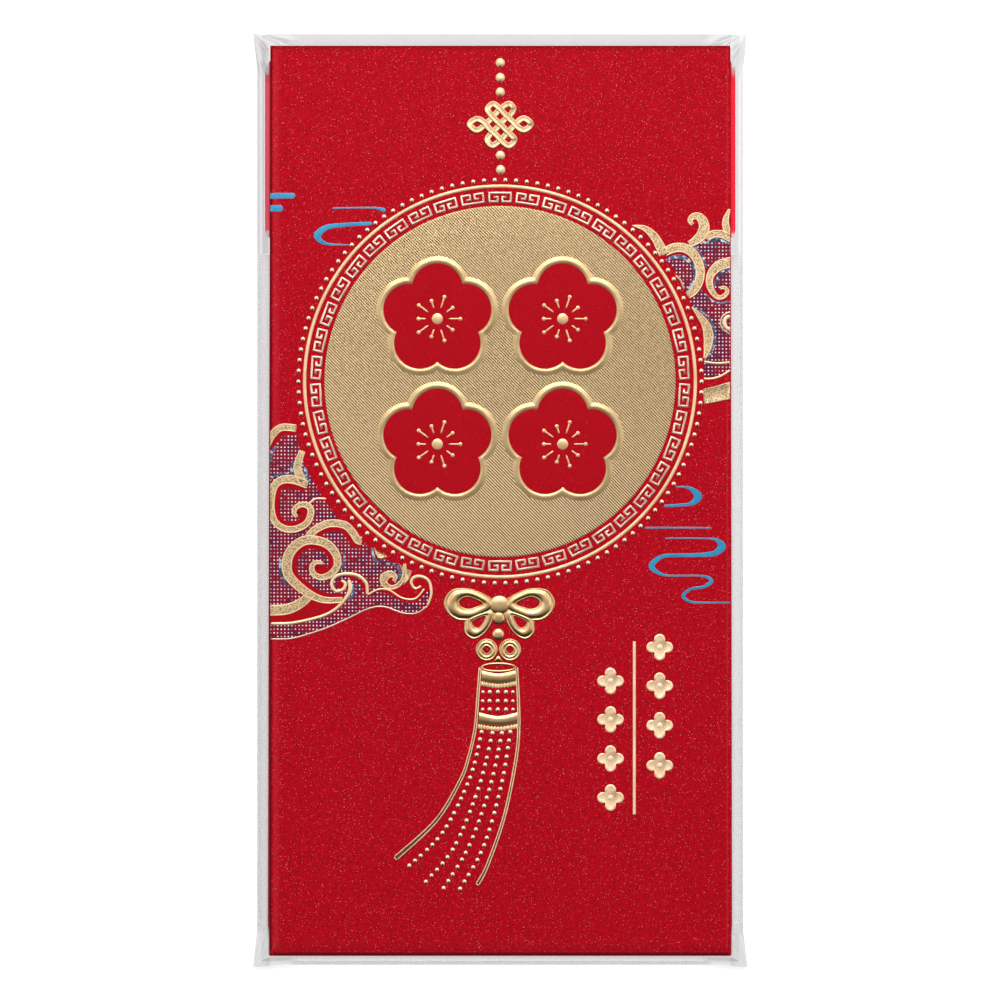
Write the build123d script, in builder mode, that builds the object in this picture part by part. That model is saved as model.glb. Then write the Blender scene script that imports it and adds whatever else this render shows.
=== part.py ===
import os

from math import ceil, cos, radians, sin, sqrt

from build123d import *

# A red gift envelope, lying on its back in a clear film sleeve.
# X runs across the envelope, Y along it towards the flap crease, Z out of its face.

# Folded sheet
panel_width = 86.0
panel_length = 170.0
paper = 0.30
ply_gap = 0.10
throat_depth = 5.0
back_panel_inset = 0.30

# Glued tabs
side_tab_width = 12.0
side_tab_end_cut = 4.0
bottom_tab_length = 14.0
bottom_tab_inset = 2.0
bottom_tab_flare = 3.0
glue_line_width = 7.0
glue_line_inset = 2.0

# Closing flap
flap_side_length = 35.9
flap_tip_length = 37.6
flap_overhang = 1.05
flap_crease_inset = 0.60
flap_shoulder_length = 4.5
flap_corner_radius = 1.5
crease_clearance = 0.06

# Film sleeve
film = 0.08
film_slack = 0.12
face_clearance = 0.18
weld_thickness = 0.04
sleeve_crown_margin = 0.35
sleeve_slope_run = 1.40
sleeve_end_run = 0.85
weld_width = 0.70
ear_width = 0.75
ear_length = 6.2
ear_reach = 0.45
back_mouth_clearance = 1.4
overrun = 5.0

# Stamped relief heights above the paper
field_height = 0.10
line_height = 0.20
bead_height = 0.30
bold_height = 0.45

# Print, with its sizes in the pixels of its drawing
layout_width_pixels = 460.4
layout_length_pixels = 910.0
layout_centre_pixels = (500.2, 500.0)
stroke_step_pixels = 8.6
stroke_lay = 3

# Medallion
disc_radius_pixels = 175.6
fret_inner_radius_pixels = 178.8
fret_height_pixels = 11.0
fret_unit_count = 42
fret_unit_length_pixels = 23.8
fret_line_pixels = 1.7
fret_gap_pixels = 2.7
ring_radius_pixels = 195.4
ring_line_pixels = 3.3
bead_ring_radius_pixels = 201.6
bead_ring_count = 118
bead_diameter_pixels = 4.0
bead_sides = 5
bead_taper_share = 0.45

# Blossoms on the medallion
blossom_pitch_pixels = 125.3
blossom_radius_pixels = 51.4
blossom_petal_count = 5
blossom_rim_pixels = 5.1
blossom_petal_shares = (0.58, 0.50)
blossom_eye_share = 0.16
petal_sides = 16

# Strings, knot and tassel
string_bead_diameter_pixels = 9.6
knot_cord_pixels = 5.7
knot_step_pixels = 4.8
tassel_ball_diameter_pixels = 12.0
ball_sides = 12
tassel_ring_diameter_pixels = 22.5
tassel_ring_hole_pixels = 7.0
tassel_line_pixels = 3.9
tassel_line_step_pixels = 21.4
tassel_rope_pixels = 4.6
tassel_string_bead_count = 21

# Side column and its florets
divider_line_pixels = 3.0
floret_radius_pixels = 13.9
floret_petal_count = 4
floret_petal_shares = (0.56, 0.40)
floret_petal_sides = 6

# The print keeps its proportions and fits the panel
mm_per_pixel = min(panel_width / layout_width_pixels, panel_length / layout_length_pixels)

# Heights of the plies, from the floor up
outer_ply = film + film_slack
back_ply = outer_ply + paper + ply_gap
tab_ply = back_ply + paper + ply_gap
front_ply = tab_ply + paper + ply_gap
face = front_ply + paper
sleeve_height = face + bold_height + face_clearance + film
seam = sleeve_height / 2

# Fold radii join the plies that each fold wraps
half_width = panel_width / 2
half_length = panel_length / 2
crease_radius = (face - outer_ply) / 2
left_fold_radius = (face - back_ply) / 2
right_fold_radius = (face - tab_ply) / 2
crease_y = half_length - crease_radius
crease_z = (face + outer_ply) / 2
throat_y = half_length - throat_depth

# Sleeve outline
crown_half = half_width + sleeve_crown_margin
base_half = crown_half + sleeve_slope_run
sleeve_half = base_half + weld_width
ear_half = sleeve_half + ear_width
crown_bottom = -half_length - sleeve_crown_margin
base_bottom = crown_bottom - sleeve_end_run
sleeve_bottom = base_bottom - weld_width
sleeve_top = -sleeve_bottom
back_mouth = half_length - flap_tip_length - back_mouth_clearance
film_wall = film * sqrt(2)

# Points of the layout, in picture pixels
medallion_centre_pixels = (500.0, 381.5)
string_bead_pixels = [(500.2, 62.7), (500.2, 77.6), (500.2, 92.1), (500.4, 155.3), (500.6, 169.7)]
knot_run_pixels = [
    [(490.2, 114.0), (487.6, 109.0), (492.6, 104.0), (498.1, 107.0), (503.7, 113.1), (512.8, 121.9),
     (517.2, 126.6)],
    [(517.2, 126.6), (524.2, 130.0), (531.1, 124.3), (524.5, 118.5), (518.4, 121.1), (510.5, 129.6),
     (504.9, 135.7)],
    [(504.9, 135.7), (498.4, 141.9), (492.0, 145.5), (487.3, 140.1), (490.2, 134.6), (497.0, 128.0),
     (503.6, 120.7)],
    [(503.6, 120.7), (510.8, 114.3), (513.5, 108.5), (509.6, 103.9), (504.6, 105.8), (496.4, 113.0),
     (489.6, 120.5)],
    [(489.6, 120.5), (482.9, 126.9), (476.1, 130.2), (469.7, 124.3), (476.4, 119.1), (483.2, 121.7),
     (490.2, 129.6)],
    [(490.2, 129.6), (497.0, 135.7), (503.4, 142.5), (509.3, 145.6), (514.7, 140.1), (511.0, 134.9),
     (504.0, 128.0)],
    [(504.0, 128.0), (496.5, 120.7), (490.2, 114.0)],
]
bow_centre_pixels = (499.4, 604.9)
bow_loop_pixels = [
    (493.5, 600.0), (476.5, 590.4), (463.2, 587.9), (450.8, 590.4), (444.0, 600.7),
    (445.8, 610.7), (451.6, 617.3), (459.9, 620.6), (474.8, 619.4), (493.5, 610.0),
]
bow_eye_pixels = [
    (459.6, 602.8), (463.2, 598.7), (469.8, 597.4), (482.4, 603.4), (474.8, 606.9), (468.2, 608.6),
    (461.5, 606.5),
]
bow_tail_pixels = [
    (493.5, 609.0), (492.2, 621.5), (484.8, 633.1), (474.0, 639.3), (465.7, 634.7), (464.2, 627.3),
    (468.2, 617.0),
]
bow_tail_eye_pixels = [(484.8, 615.9), (472.6, 621.3), (474.4, 626.0), (478.1, 627.4), (482.3, 623.1)]
bow_knot_half_pixels = (10.6, 9.4)
bow_drop_pixels = (498.8, 618.0)
bow_drop_half_pixels = (6.2, 7.0)
tassel_ball_pixels = (498.2, 634.3)
tassel_ring_pixels = [(486.6, 649.7), (510.0, 649.7)]
tassel_left_line_pixels = [
    (480.2, 668.0), (477.6, 700.0), (475.2, 728.0), (468.2, 759.0), (459.8, 781.4), (436.0, 820.7),
    (395.3, 858.6),
]
tassel_right_line_pixels = [
    (516.6, 668.0), (518.8, 700.0), (518.8, 728.0), (516.0, 759.0), (504.7, 815.0), (487.9, 864.2),
    (477.4, 884.5),
]
tassel_band_pixels = [
    [(482.0, 671.0), (498.4, 673.6), (515.2, 671.0), (516.4, 680.4), (498.6, 682.0), (481.6, 680.4)],
    [(480.0, 713.0), (498.0, 716.0), (517.0, 713.0), (517.0, 723.4), (498.0, 725.2), (478.4, 723.4)],
]
tassel_rope_run_pixels = [
    [(481.2, 683.4), (498.6, 685.6), (516.6, 683.0)],
    [(478.2, 726.2), (498.0, 728.6), (517.4, 725.8)],
]
tassel_mouth_pixels = [(481.4, 667.5), (498.6, 663.8), (514.6, 667.5)]
tassel_row_pixels = [(692.0, 481.8, 514.0), (701.0, 481.4, 514.0), (709.4, 481.4, 514.2)]
tassel_row_bead_count = 5
tassel_string_pixels = [
    [(481.6, 732.0), (468.5, 777.5), (441.0, 832.0), (409.3, 865.6)],
    [(492.4, 733.0), (481.5, 786.0), (456.0, 846.5), (425.9, 881.7)],
    [(501.9, 733.0), (493.0, 787.0), (471.0, 846.0), (443.7, 888.0)],
    [(510.3, 732.0), (504.5, 785.0), (486.0, 846.0), (460.1, 888.7)],
]
divider_pixels = [(634.3, 641.4), (634.3, 814.2)]
left_floret_pixels = [(610.5, 681.0), (610.5, 719.5), (610.5, 758.6), (610.5, 797.6)]
right_floret_pixels = [(659.7, 647.2), (659.7, 685.8), (659.7, 725.4), (659.7, 765.5)]
left_cloud_pixels = [
    (8.8, [(343.2, 599.6), (323.2, 597.3), (304.8, 591.9), (291.1, 581.2), (286.9, 567.4),
           (291.1, 552.9), (301.8, 543.7),
           (314.0, 541.0), (327.0, 546.0), (335.4, 556.7), (336.2, 565.9), (332.4, 574.3)]),
    (6.0, [(332.4, 574.3), (325.5, 578.1), (317.1, 577.4), (311.0, 572.0), (311.7, 565.1),
           (317.1, 562.1), (323.2, 563.6)]),
    (7.6, [(312.5, 536.0), (317.1, 528.4), (327.8, 524.2), (337.0, 523.1), (346.2, 526.9),
           (352.3, 534.5), (358.0, 540.2)]),
    (9.6, [(273.0, 610.8), (285.0, 611.0), (298.7, 604.9), (310.2, 597.0)]),
    (3.4, [(367.6, 595.7), (365.3, 583.5), (358.4, 576.6), (346.2, 573.6), (335.4, 577.4),
           (330.1, 583.5), (333.2, 589.6),
           (339.3, 591.9)]),
    (2.8, [(346.9, 581.2), (347.7, 588.9), (345.4, 596.5), (338.5, 603.4), (323.2, 613.3),
           (304.1, 620.2), (273.0, 623.7)]),
    (1.6, [(273.0, 637.4), (292.6, 637.1), (323.2, 629.4), (346.2, 617.2), (365.3, 609.5), (392.0, 604.5)]),
    (7.0, [(273.5, 437.0), (280.0, 430.6), (288.0, 428.4), (296.0, 428.8)]),
    (7.2, [(299.0, 476.0), (297.0, 464.0), (303.4, 451.0)]),
    (7.0, [(273.5, 483.4), (283.0, 478.6), (293.0, 479.2), (306.0, 484.2)]),
    (5.6, [(273.5, 521.0), (284.0, 527.0), (296.0, 527.0), (309.0, 520.6)]),
]
left_ball_pixels = (302.6, 508.6)
left_ball_radius_pixels = 9.6
right_cloud_pixels = [
    (6.4, [(637.0, 226.4), (645.6, 228.2), (654.8, 235.6), (660.4, 245.6), (664.6, 254.8)]),
    (9.4, [(665.4, 249.0), (676.9, 242.9), (687.0, 246.2), (695.6, 255.6), (700.3, 267.0),
           (700.3, 280.4), (695.6, 291.8),
           (688.6, 297.6)]),
    (6.6, [(692.6, 225.2), (689.6, 220.2), (696.6, 215.4), (704.0, 219.4), (705.0, 227.0),
           (700.6, 235.6), (690.2, 241.0)]),
    (6.6, [(707.0, 237.4), (715.8, 233.6), (723.8, 234.2), (728.6, 239.0)]),
    (4.6, [(726.2, 230.0), (725.6, 219.0), (728.6, 209.6)]),
    (6.6, [(728.6, 262.4), (720.4, 264.4), (710.4, 272.4), (707.6, 283.8), (712.4, 293.8),
           (720.4, 298.6), (727.4, 295.4),
           (728.6, 289.0)]),
    (7.8, [(693.6, 310.4), (702.4, 316.8), (708.4, 328.2), (709.6, 340.2), (706.4, 354.6)]),
    (1.8, [(703.7, 362.3), (717.0, 364.2), (729.0, 362.2)]),
    (1.8, [(703.7, 379.0), (717.0, 378.4), (729.0, 372.4)]),
    (16.0, [(704.0, 396.0), (716.0, 393.2), (728.8, 389.6)]),
]
left_wave_pixels = [
    (6.0, [(273.0, 195.8), (284.0, 195.6), (294.7, 195.0)]),
    (6.6, [(273.0, 208.6), (278.0, 208.4), (283.0, 208.2)]),
    (2.4, [(331.7, 208.0), (352.0, 206.6), (372.7, 207.0), (387.6, 210.0)]),
    (4.6, [(373.5, 222.0), (352.0, 222.0), (333.0, 223.0), (319.0, 227.0), (314.6, 233.6),
           (319.0, 241.6), (332.0, 245.0),
           (349.5, 245.0)]),
]
right_wave_pixels = [
    (4.6, [(676.6, 486.7), (690.7, 487.2), (702.6, 495.4), (695.0, 504.0), (681.0, 505.6), (663.3, 506.0)]),
    (2.2, [(644.0, 527.7), (678.0, 527.2), (712.0, 527.7)]),
    (4.6, [(664.0, 538.0), (690.0, 537.4), (712.0, 539.4), (725.6, 546.8), (712.0, 554.8),
           (690.0, 556.4), (664.0, 557.4),
           (649.4, 565.8), (662.0, 574.6), (680.0, 575.4), (700.7, 575.7), (711.6, 581.6),
           (700.7, 588.0), (687.0, 590.6),
           (682.2, 596.8), (692.4, 602.5), (710.0, 602.9), (729.0, 602.9)]),
]


def printed(pixels):
    # A drawn size as it lands on the panel
    return pixels * mm_per_pixel


def spot(pixel):
    across = printed(pixel[0] - layout_centre_pixels[0])
    along = printed(layout_centre_pixels[1] - pixel[1])
    return (across, along)


def spots(pixels):
    return [spot(pixel) for pixel in pixels]


def stroke(pixels, width, step=stroke_step_pixels, mode=Mode.ADD):
    # A drawn stroke of even width on the current sketch, laid in short straight-edged lengths
    run = Spline(*spots(pixels), mode=Mode.PRIVATE)
    count = ceil(run.length / printed(step))
    shares = [place / count for place in range(count + 1)]
    sides = [(run % share).rotate(Axis.Z, 90) * (width / 2) for share in shares]
    left = [run @ share + side for share, side in zip(shares, sides)]
    right = [run @ share - side for share, side in zip(shares, sides)]
    for first in range(0, count, stroke_lay):
        last = min(first + stroke_lay, count) + 1
        with BuildLine() as path:
            Polyline(*left[first:last], *reversed(right[first:last]), close=True)
        make_face(path.line, mode=mode)


def closed_shape(pixels, step=stroke_step_pixels, mode=Mode.ADD):
    # A closed rounded shape on the current sketch, in short straight steps
    loop = Spline(*spots(pixels), periodic=True, mode=Mode.PRIVATE)
    count = ceil(loop.length / printed(step))
    with BuildLine() as path:
        Polyline(*[loop @ (place / count) for place in range(count)], close=True)
    make_face(path.line, mode=mode)


def fold_ring(radius, open_side):
    # Section of a rounded fold: half a ring, open towards the sheet
    with BuildSketch() as section:
        Circle(radius)
        Circle(radius - paper, mode=Mode.SUBTRACT)
        with Locations((open_side * radius, 0)):
            Rectangle(2 * radius, 2 * radius, mode=Mode.SUBTRACT)
    return section.sketch


def bead_angle(diameter, height):
    # Slope of a bead's side, from the share that its top is narrower by
    return Vector(0, height).get_angle(Vector(diameter / 2 * bead_taper_share, height))


def beads(places, diameter, height, sides):
    # Raised beads on the face
    with BuildPart() as group:
        with BuildSketch(Plane.XY.offset(face)):
            with Locations(places):
                RegularPolygon(diameter / 2, sides)
        extrude(amount=height, taper=bead_angle(diameter, height))
    return group.part


def petals(radius, count, shares, sides, rim=0):
    # A blossom of round petals on the current sketch, shares give petal centre and petal radius
    RegularPolygon(radius * shares[0], sides)
    with PolarLocations(radius * shares[0], count, start_angle=90):
        RegularPolygon(radius * shares[1] + rim, sides)


def spread(pixels, count):
    # Even places along a string that runs through the points
    string = Spline(*spots(pixels), mode=Mode.PRIVATE)
    return [string @ (step / (count - 1)) for step in range(count)]


os.makedirs("parts", exist_ok=True)
pieces = {}

# Envelope sheet, panel by panel
with BuildPart() as front_panel:
    with BuildSketch(Plane.XY.offset(front_ply)):
        with BuildLine():
            Polyline(
                (left_fold_radius - half_width, crease_radius - half_length),
                (half_width - right_fold_radius, crease_radius - half_length),
                (half_width - right_fold_radius, crease_y),
                (left_fold_radius - half_width, crease_y),
                close=True,
            )
        make_face()
    extrude(amount=paper)
pieces["front_panel"] = front_panel.part

with BuildPart() as back_panel:
    with BuildSketch(Plane.XY.offset(back_ply)):
        with BuildLine():
            Polyline(
                (left_fold_radius - half_width, crease_radius - half_length),
                (half_width - back_panel_inset, crease_radius - half_length),
                (half_width - back_panel_inset, throat_y),
                (left_fold_radius - half_width, throat_y),
                close=True,
            )
        make_face()
    extrude(amount=paper)
pieces["back_panel"] = back_panel.part

with BuildPart() as left_fold:
    left_fold_centre = (left_fold_radius - half_width, crease_radius - half_length, face - left_fold_radius)
    left_fold_start = Plane(left_fold_centre, (1, 0, 0), (0, 1, 0))
    with BuildSketch(left_fold_start):
        add(fold_ring(left_fold_radius, 1))
    extrude(amount=throat_y - (crease_radius - half_length))
pieces["left_fold"] = left_fold.part

side_tab_low = crease_radius - half_length + side_tab_end_cut
side_tab_high = throat_y - side_tab_end_cut
side_tab_edge = half_width - right_fold_radius
with BuildPart() as right_fold:
    right_fold_start = Plane((side_tab_edge, side_tab_low, face - right_fold_radius), (1, 0, 0), (0, 1, 0))
    with BuildSketch(right_fold_start):
        add(fold_ring(right_fold_radius, -1))
    extrude(amount=side_tab_high - side_tab_low)
pieces["right_fold"] = right_fold.part

with BuildPart() as side_glue_tab:
    with BuildSketch(Plane.XY.offset(tab_ply)):
        with BuildLine():
            Polyline(
                (side_tab_edge, side_tab_low),
                (side_tab_edge, side_tab_high),
                (side_tab_edge - side_tab_width, side_tab_high - side_tab_end_cut),
                (side_tab_edge - side_tab_width, side_tab_low + side_tab_end_cut),
                close=True,
            )
        make_face()
    extrude(amount=paper)
pieces["side_glue_tab"] = side_glue_tab.part

with BuildPart() as side_glue_line:
    with BuildSketch(Plane.XY.offset(tab_ply - ply_gap)):
        with BuildLine():
            Line(
                (side_tab_edge - side_tab_width / 2, side_tab_low + side_tab_end_cut),
                (side_tab_edge - side_tab_width / 2, side_tab_high - side_tab_end_cut),
            )
        trace(line_width=glue_line_width)
    extrude(amount=ply_gap)
pieces["side_glue_line"] = side_glue_line.part

bottom_tab_half = half_width - bottom_tab_inset
bottom_tab_edge = crease_radius - half_length
with BuildPart() as bottom_fold:
    bottom_fold_start = Plane((-bottom_tab_half, bottom_tab_edge, crease_z), (0, 1, 0), (1, 0, 0))
    with BuildSketch(bottom_fold_start):
        add(fold_ring(crease_radius, 1))
    extrude(amount=2 * bottom_tab_half)
pieces["bottom_fold"] = bottom_fold.part

with BuildPart() as bottom_tab:
    with BuildSketch(Plane.XY.offset(outer_ply)):
        with BuildLine():
            Polyline(
                (-bottom_tab_half, bottom_tab_edge),
                (bottom_tab_half, bottom_tab_edge),
                (bottom_tab_half - bottom_tab_flare, bottom_tab_edge + bottom_tab_length),
                (bottom_tab_flare - bottom_tab_half, bottom_tab_edge + bottom_tab_length),
                close=True,
            )
        make_face()
    extrude(amount=paper)
pieces["bottom_tab"] = bottom_tab.part

with BuildPart() as bottom_glue_line:
    with BuildSketch(Plane.XY.offset(outer_ply + paper)):
        with BuildLine():
            glue_reach = bottom_tab_half - bottom_tab_flare - glue_line_inset
            glue_y = bottom_tab_edge + bottom_tab_length / 2
            Line((-glue_reach, glue_y), (glue_reach, glue_y))
        trace(line_width=glue_line_width)
    extrude(amount=ply_gap)
pieces["bottom_glue_line"] = bottom_glue_line.part

crease_half = half_width - flap_crease_inset
with BuildPart() as top_crease:
    with BuildSketch(Plane((-crease_half, crease_y, crease_z), (0, 1, 0), (1, 0, 0))):
        add(fold_ring(crease_radius, -1))
    extrude(amount=2 * crease_half)
pieces["top_crease"] = top_crease.part

# The flap starts clear of the crease's round at every angle of its swing
flap_start = crease_y - sqrt((crease_radius + crease_clearance) ** 2 - (crease_radius - paper) ** 2)
flap_half = half_width + flap_overhang
flap_shoulder_y = half_length - flap_shoulder_length
flap_side_y = half_length - flap_side_length
flap_tip_y = half_length - flap_tip_length
with BuildPart() as top_flap:
    with BuildSketch(Plane.XY.offset(outer_ply)):
        with BuildLine():
            Polyline(
                (0, flap_start),
                (crease_half, flap_start),
                (flap_half, flap_shoulder_y),
                (flap_half, flap_side_y),
            )
            ThreePointArc((flap_half, flap_side_y), (0, flap_tip_y), (-flap_half, flap_side_y))
            Polyline(
                (-flap_half, flap_side_y),
                (-flap_half, flap_shoulder_y),
                (-crease_half, flap_start),
                (0, flap_start),
            )
        flap_face = make_face()
        fillet(flap_face.vertices().group_by(Axis.Y)[0], flap_corner_radius)
    extrude(amount=paper)
pieces["top_flap"] = top_flap.part

# Medallion
medallion = spot(medallion_centre_pixels)
medallion_plane = Plane((medallion[0], medallion[1], face))
with BuildPart() as medallion_disc:
    with BuildSketch(medallion_plane):
        Circle(printed(disc_radius_pixels))
    extrude(amount=field_height)
pieces["medallion_disc"] = medallion_disc.part

with BuildPart() as medallion_ring:
    with BuildSketch(medallion_plane):
        Circle(printed(ring_radius_pixels + ring_line_pixels / 2))
        Circle(printed(ring_radius_pixels - ring_line_pixels / 2), mode=Mode.SUBTRACT)
    extrude(amount=line_height)
pieces["medallion_ring"] = medallion_ring.part

# One fret unit: a closed side, two legs, and two arms that turn inwards
fret_stroke = printed(fret_line_pixels)
fret_slot = printed(fret_gap_pixels)
fret_edge = printed(fret_height_pixels) / 2 - fret_stroke / 2
fret_side = printed(fret_unit_length_pixels) / 2 - fret_stroke / 2
fret_arm = printed(fret_unit_length_pixels - fret_gap_pixels) / 2
fret_rise = printed(fret_height_pixels) / 2 - 3 * fret_stroke
with BuildSketch(mode=Mode.PRIVATE) as fret_unit:
    for side in (-1, 1):
        with BuildLine():
            Polyline(
                (0, fret_edge),
                (side * fret_side, fret_edge),
                (side * fret_side, -fret_edge),
                (side * (fret_slot + fret_stroke) / 2, -fret_edge),
                (side * (fret_slot + fret_stroke) / 2, fret_rise),
                (side * (fret_slot + fret_arm) / 2, fret_rise),
            )
        trace(line_width=fret_stroke)

fret_radius = printed(fret_inner_radius_pixels + fret_height_pixels / 2)
fret_step = 360 / fret_unit_count
with BuildPart() as fret_ring:
    with BuildSketch(medallion_plane):
        for unit in range(fret_unit_count):
            unit_turn = unit * fret_step + (180 if unit % 2 else 0)
            unit_angle = radians(unit * fret_step)
            unit_spot = (-fret_radius * sin(unit_angle), fret_radius * cos(unit_angle))
            with Locations(Location((*unit_spot, 0), (0, 0, unit_turn))):
                add(fret_unit.sketch)
    extrude(amount=line_height)
pieces["fret_ring"] = fret_ring.part

bead_places = []
for bead in range(bead_ring_count):
    bead_turn = radians(360 * bead / bead_ring_count)
    bead_across = medallion[0] + printed(bead_ring_radius_pixels) * cos(bead_turn)
    bead_along = medallion[1] + printed(bead_ring_radius_pixels) * sin(bead_turn)
    bead_places.append((bead_across, bead_along))
pieces["bead_ring"] = beads(bead_places, printed(bead_diameter_pixels), bead_height, bead_sides)

blossom_places = GridLocations(printed(blossom_pitch_pixels), printed(blossom_pitch_pixels), 2, 2)
blossom_radius = printed(blossom_radius_pixels)
blossom_eye_radius = blossom_radius * blossom_eye_share
field = Plane((medallion[0], medallion[1], face + field_height))


def blossoms(rim=0):
    # All blossom outlines on the current sketch
    for place in blossom_places.local_locations:
        with Locations(place):
            petals(blossom_radius, blossom_petal_count, blossom_petal_shares, petal_sides, rim)


with BuildPart() as blossom_rims:
    with BuildSketch(field):
        blossoms(printed(blossom_rim_pixels))
    extrude(amount=line_height)
    with BuildSketch(field):
        blossoms()
    extrude(amount=line_height, mode=Mode.SUBTRACT)
pieces["blossom_rims"] = blossom_rims.part

with BuildPart() as blossom_fills:
    with BuildSketch(field):
        blossoms()
        with blossom_places:
            RegularPolygon(blossom_eye_radius, petal_sides, mode=Mode.SUBTRACT)
    extrude(amount=field_height)
pieces["blossom_fills"] = blossom_fills.part

with BuildPart() as blossom_eyes:
    with BuildSketch(field):
        with blossom_places:
            RegularPolygon(blossom_eye_radius, petal_sides)
    extrude(amount=line_height)
pieces["blossom_eyes"] = blossom_eyes.part

# Hanging string above the medallion
string_places = spots(string_bead_pixels)
pieces["string_beads"] = beads(string_places, printed(string_bead_diameter_pixels), bead_height, ball_sides)

with BuildPart() as endless_knot:
    with BuildSketch(Plane.XY.offset(face)):
        for run in knot_run_pixels:
            stroke(run, printed(knot_cord_pixels), knot_step_pixels)
    extrude(amount=bold_height)
pieces["endless_knot"] = endless_knot.part

# Bow and tassel below the medallion
bow_middle = spot(bow_centre_pixels)
bow_drop = spot(bow_drop_pixels)
with BuildPart() as bow:
    with BuildSketch(Plane.XY.offset(face)):
        closed_shape(bow_loop_pixels)
        closed_shape(bow_tail_pixels)
        closed_shape(bow_eye_pixels, mode=Mode.SUBTRACT)
        closed_shape(bow_tail_eye_pixels, mode=Mode.SUBTRACT)
        mirror(about=Plane.YZ.offset(bow_middle[0]))
        with Locations(bow_middle):
            Ellipse(printed(bow_knot_half_pixels[0]), printed(bow_knot_half_pixels[1]))
        with Locations(bow_drop):
            Ellipse(printed(bow_drop_half_pixels[0]), printed(bow_drop_half_pixels[1]))
    extrude(amount=bold_height)
pieces["bow"] = bow.part

ball_places = [spot(tassel_ball_pixels)]
pieces["tassel_ball"] = beads(ball_places, printed(tassel_ball_diameter_pixels), bold_height, ball_sides)

with BuildPart() as tassel_rings:
    with BuildSketch(Plane.XY.offset(face)):
        with Locations(spots(tassel_ring_pixels)):
            Circle(printed(tassel_ring_diameter_pixels) / 2)
            RegularPolygon(printed(tassel_ring_hole_pixels) / 2, 4, mode=Mode.SUBTRACT)
    extrude(amount=bold_height)
pieces["tassel_rings"] = tassel_rings.part

with BuildPart() as tassel_cap:
    with BuildSketch(Plane.XY.offset(face)):
        for band in tassel_band_pixels:
            with BuildLine():
                Spline(*spots(band[:3]))
                Line(spot(band[2]), spot(band[3]))
                Spline(*spots(band[3:]))
                Line(spot(band[5]), spot(band[0]))
            make_face()
        for rope in tassel_rope_run_pixels:
            stroke(rope, printed(tassel_rope_pixels))
        stroke(tassel_mouth_pixels, printed(tassel_line_pixels))
        for side_line in (tassel_left_line_pixels, tassel_right_line_pixels):
            stroke(side_line, printed(tassel_line_pixels), tassel_line_step_pixels, mode=Mode.SUBTRACT)
    extrude(amount=bead_height)
pieces["tassel_cap"] = tassel_cap.part

with BuildPart() as tassel_lines:
    with BuildSketch(Plane.XY.offset(face)):
        for side_line in (tassel_left_line_pixels, tassel_right_line_pixels):
            stroke(side_line, printed(tassel_line_pixels), tassel_line_step_pixels)
    extrude(amount=line_height)
pieces["tassel_lines"] = tassel_lines.part

tassel_places = []
for row_y, row_start, row_end in tassel_row_pixels:
    for bead in range(1, tassel_row_bead_count - 1):
        row_x = row_start + (row_end - row_start) * bead / (tassel_row_bead_count - 1)
        tassel_places.append(spot((row_x, row_y)))
for string_pixels in tassel_string_pixels:
    tassel_places.extend(spread(string_pixels, tassel_string_bead_count))
pieces["tassel_beads"] = beads(tassel_places, printed(bead_diameter_pixels), bead_height, bead_sides)

# Column at the lower right
with BuildPart() as column_line:
    with BuildSketch(Plane.XY.offset(face)):
        with BuildLine():
            Line(*spots(divider_pixels))
        trace(line_width=printed(divider_line_pixels))
    extrude(amount=line_height)
pieces["column_line"] = column_line.part

floret_radius = printed(floret_radius_pixels)
with BuildPart() as column_florets:
    with BuildSketch(Plane.XY.offset(face)):
        for place in spots(left_floret_pixels + right_floret_pixels):
            with Locations(place):
                petals(floret_radius, floret_petal_count, floret_petal_shares, floret_petal_sides)
    extrude(amount=line_height)
pieces["column_florets"] = column_florets.part

# Cloud scrolls and wave strokes at the sides
with BuildPart() as left_cloud:
    with BuildSketch(Plane.XY.offset(face)):
        for width_pixels, run in left_cloud_pixels:
            stroke(run, printed(width_pixels))
        with Locations(spot(left_ball_pixels)):
            Circle(printed(left_ball_radius_pixels))
    extrude(amount=line_height)
pieces["left_cloud"] = left_cloud.part

with BuildPart() as right_cloud:
    with BuildSketch(Plane.XY.offset(face)):
        for width_pixels, run in right_cloud_pixels:
            stroke(run, printed(width_pixels))
    extrude(amount=line_height)
pieces["right_cloud"] = right_cloud.part

with BuildPart() as left_waves:
    with BuildSketch(Plane.XY.offset(face)):
        for width_pixels, run in left_wave_pixels:
            stroke(run, printed(width_pixels))
    extrude(amount=field_height)
pieces["left_waves"] = left_waves.part

with BuildPart() as right_waves:
    with BuildSketch(Plane.XY.offset(face)):
        for width_pixels, run in right_wave_pixels:
            stroke(run, printed(width_pixels))
    extrude(amount=field_height)
pieces["right_waves"] = right_waves.part


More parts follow.
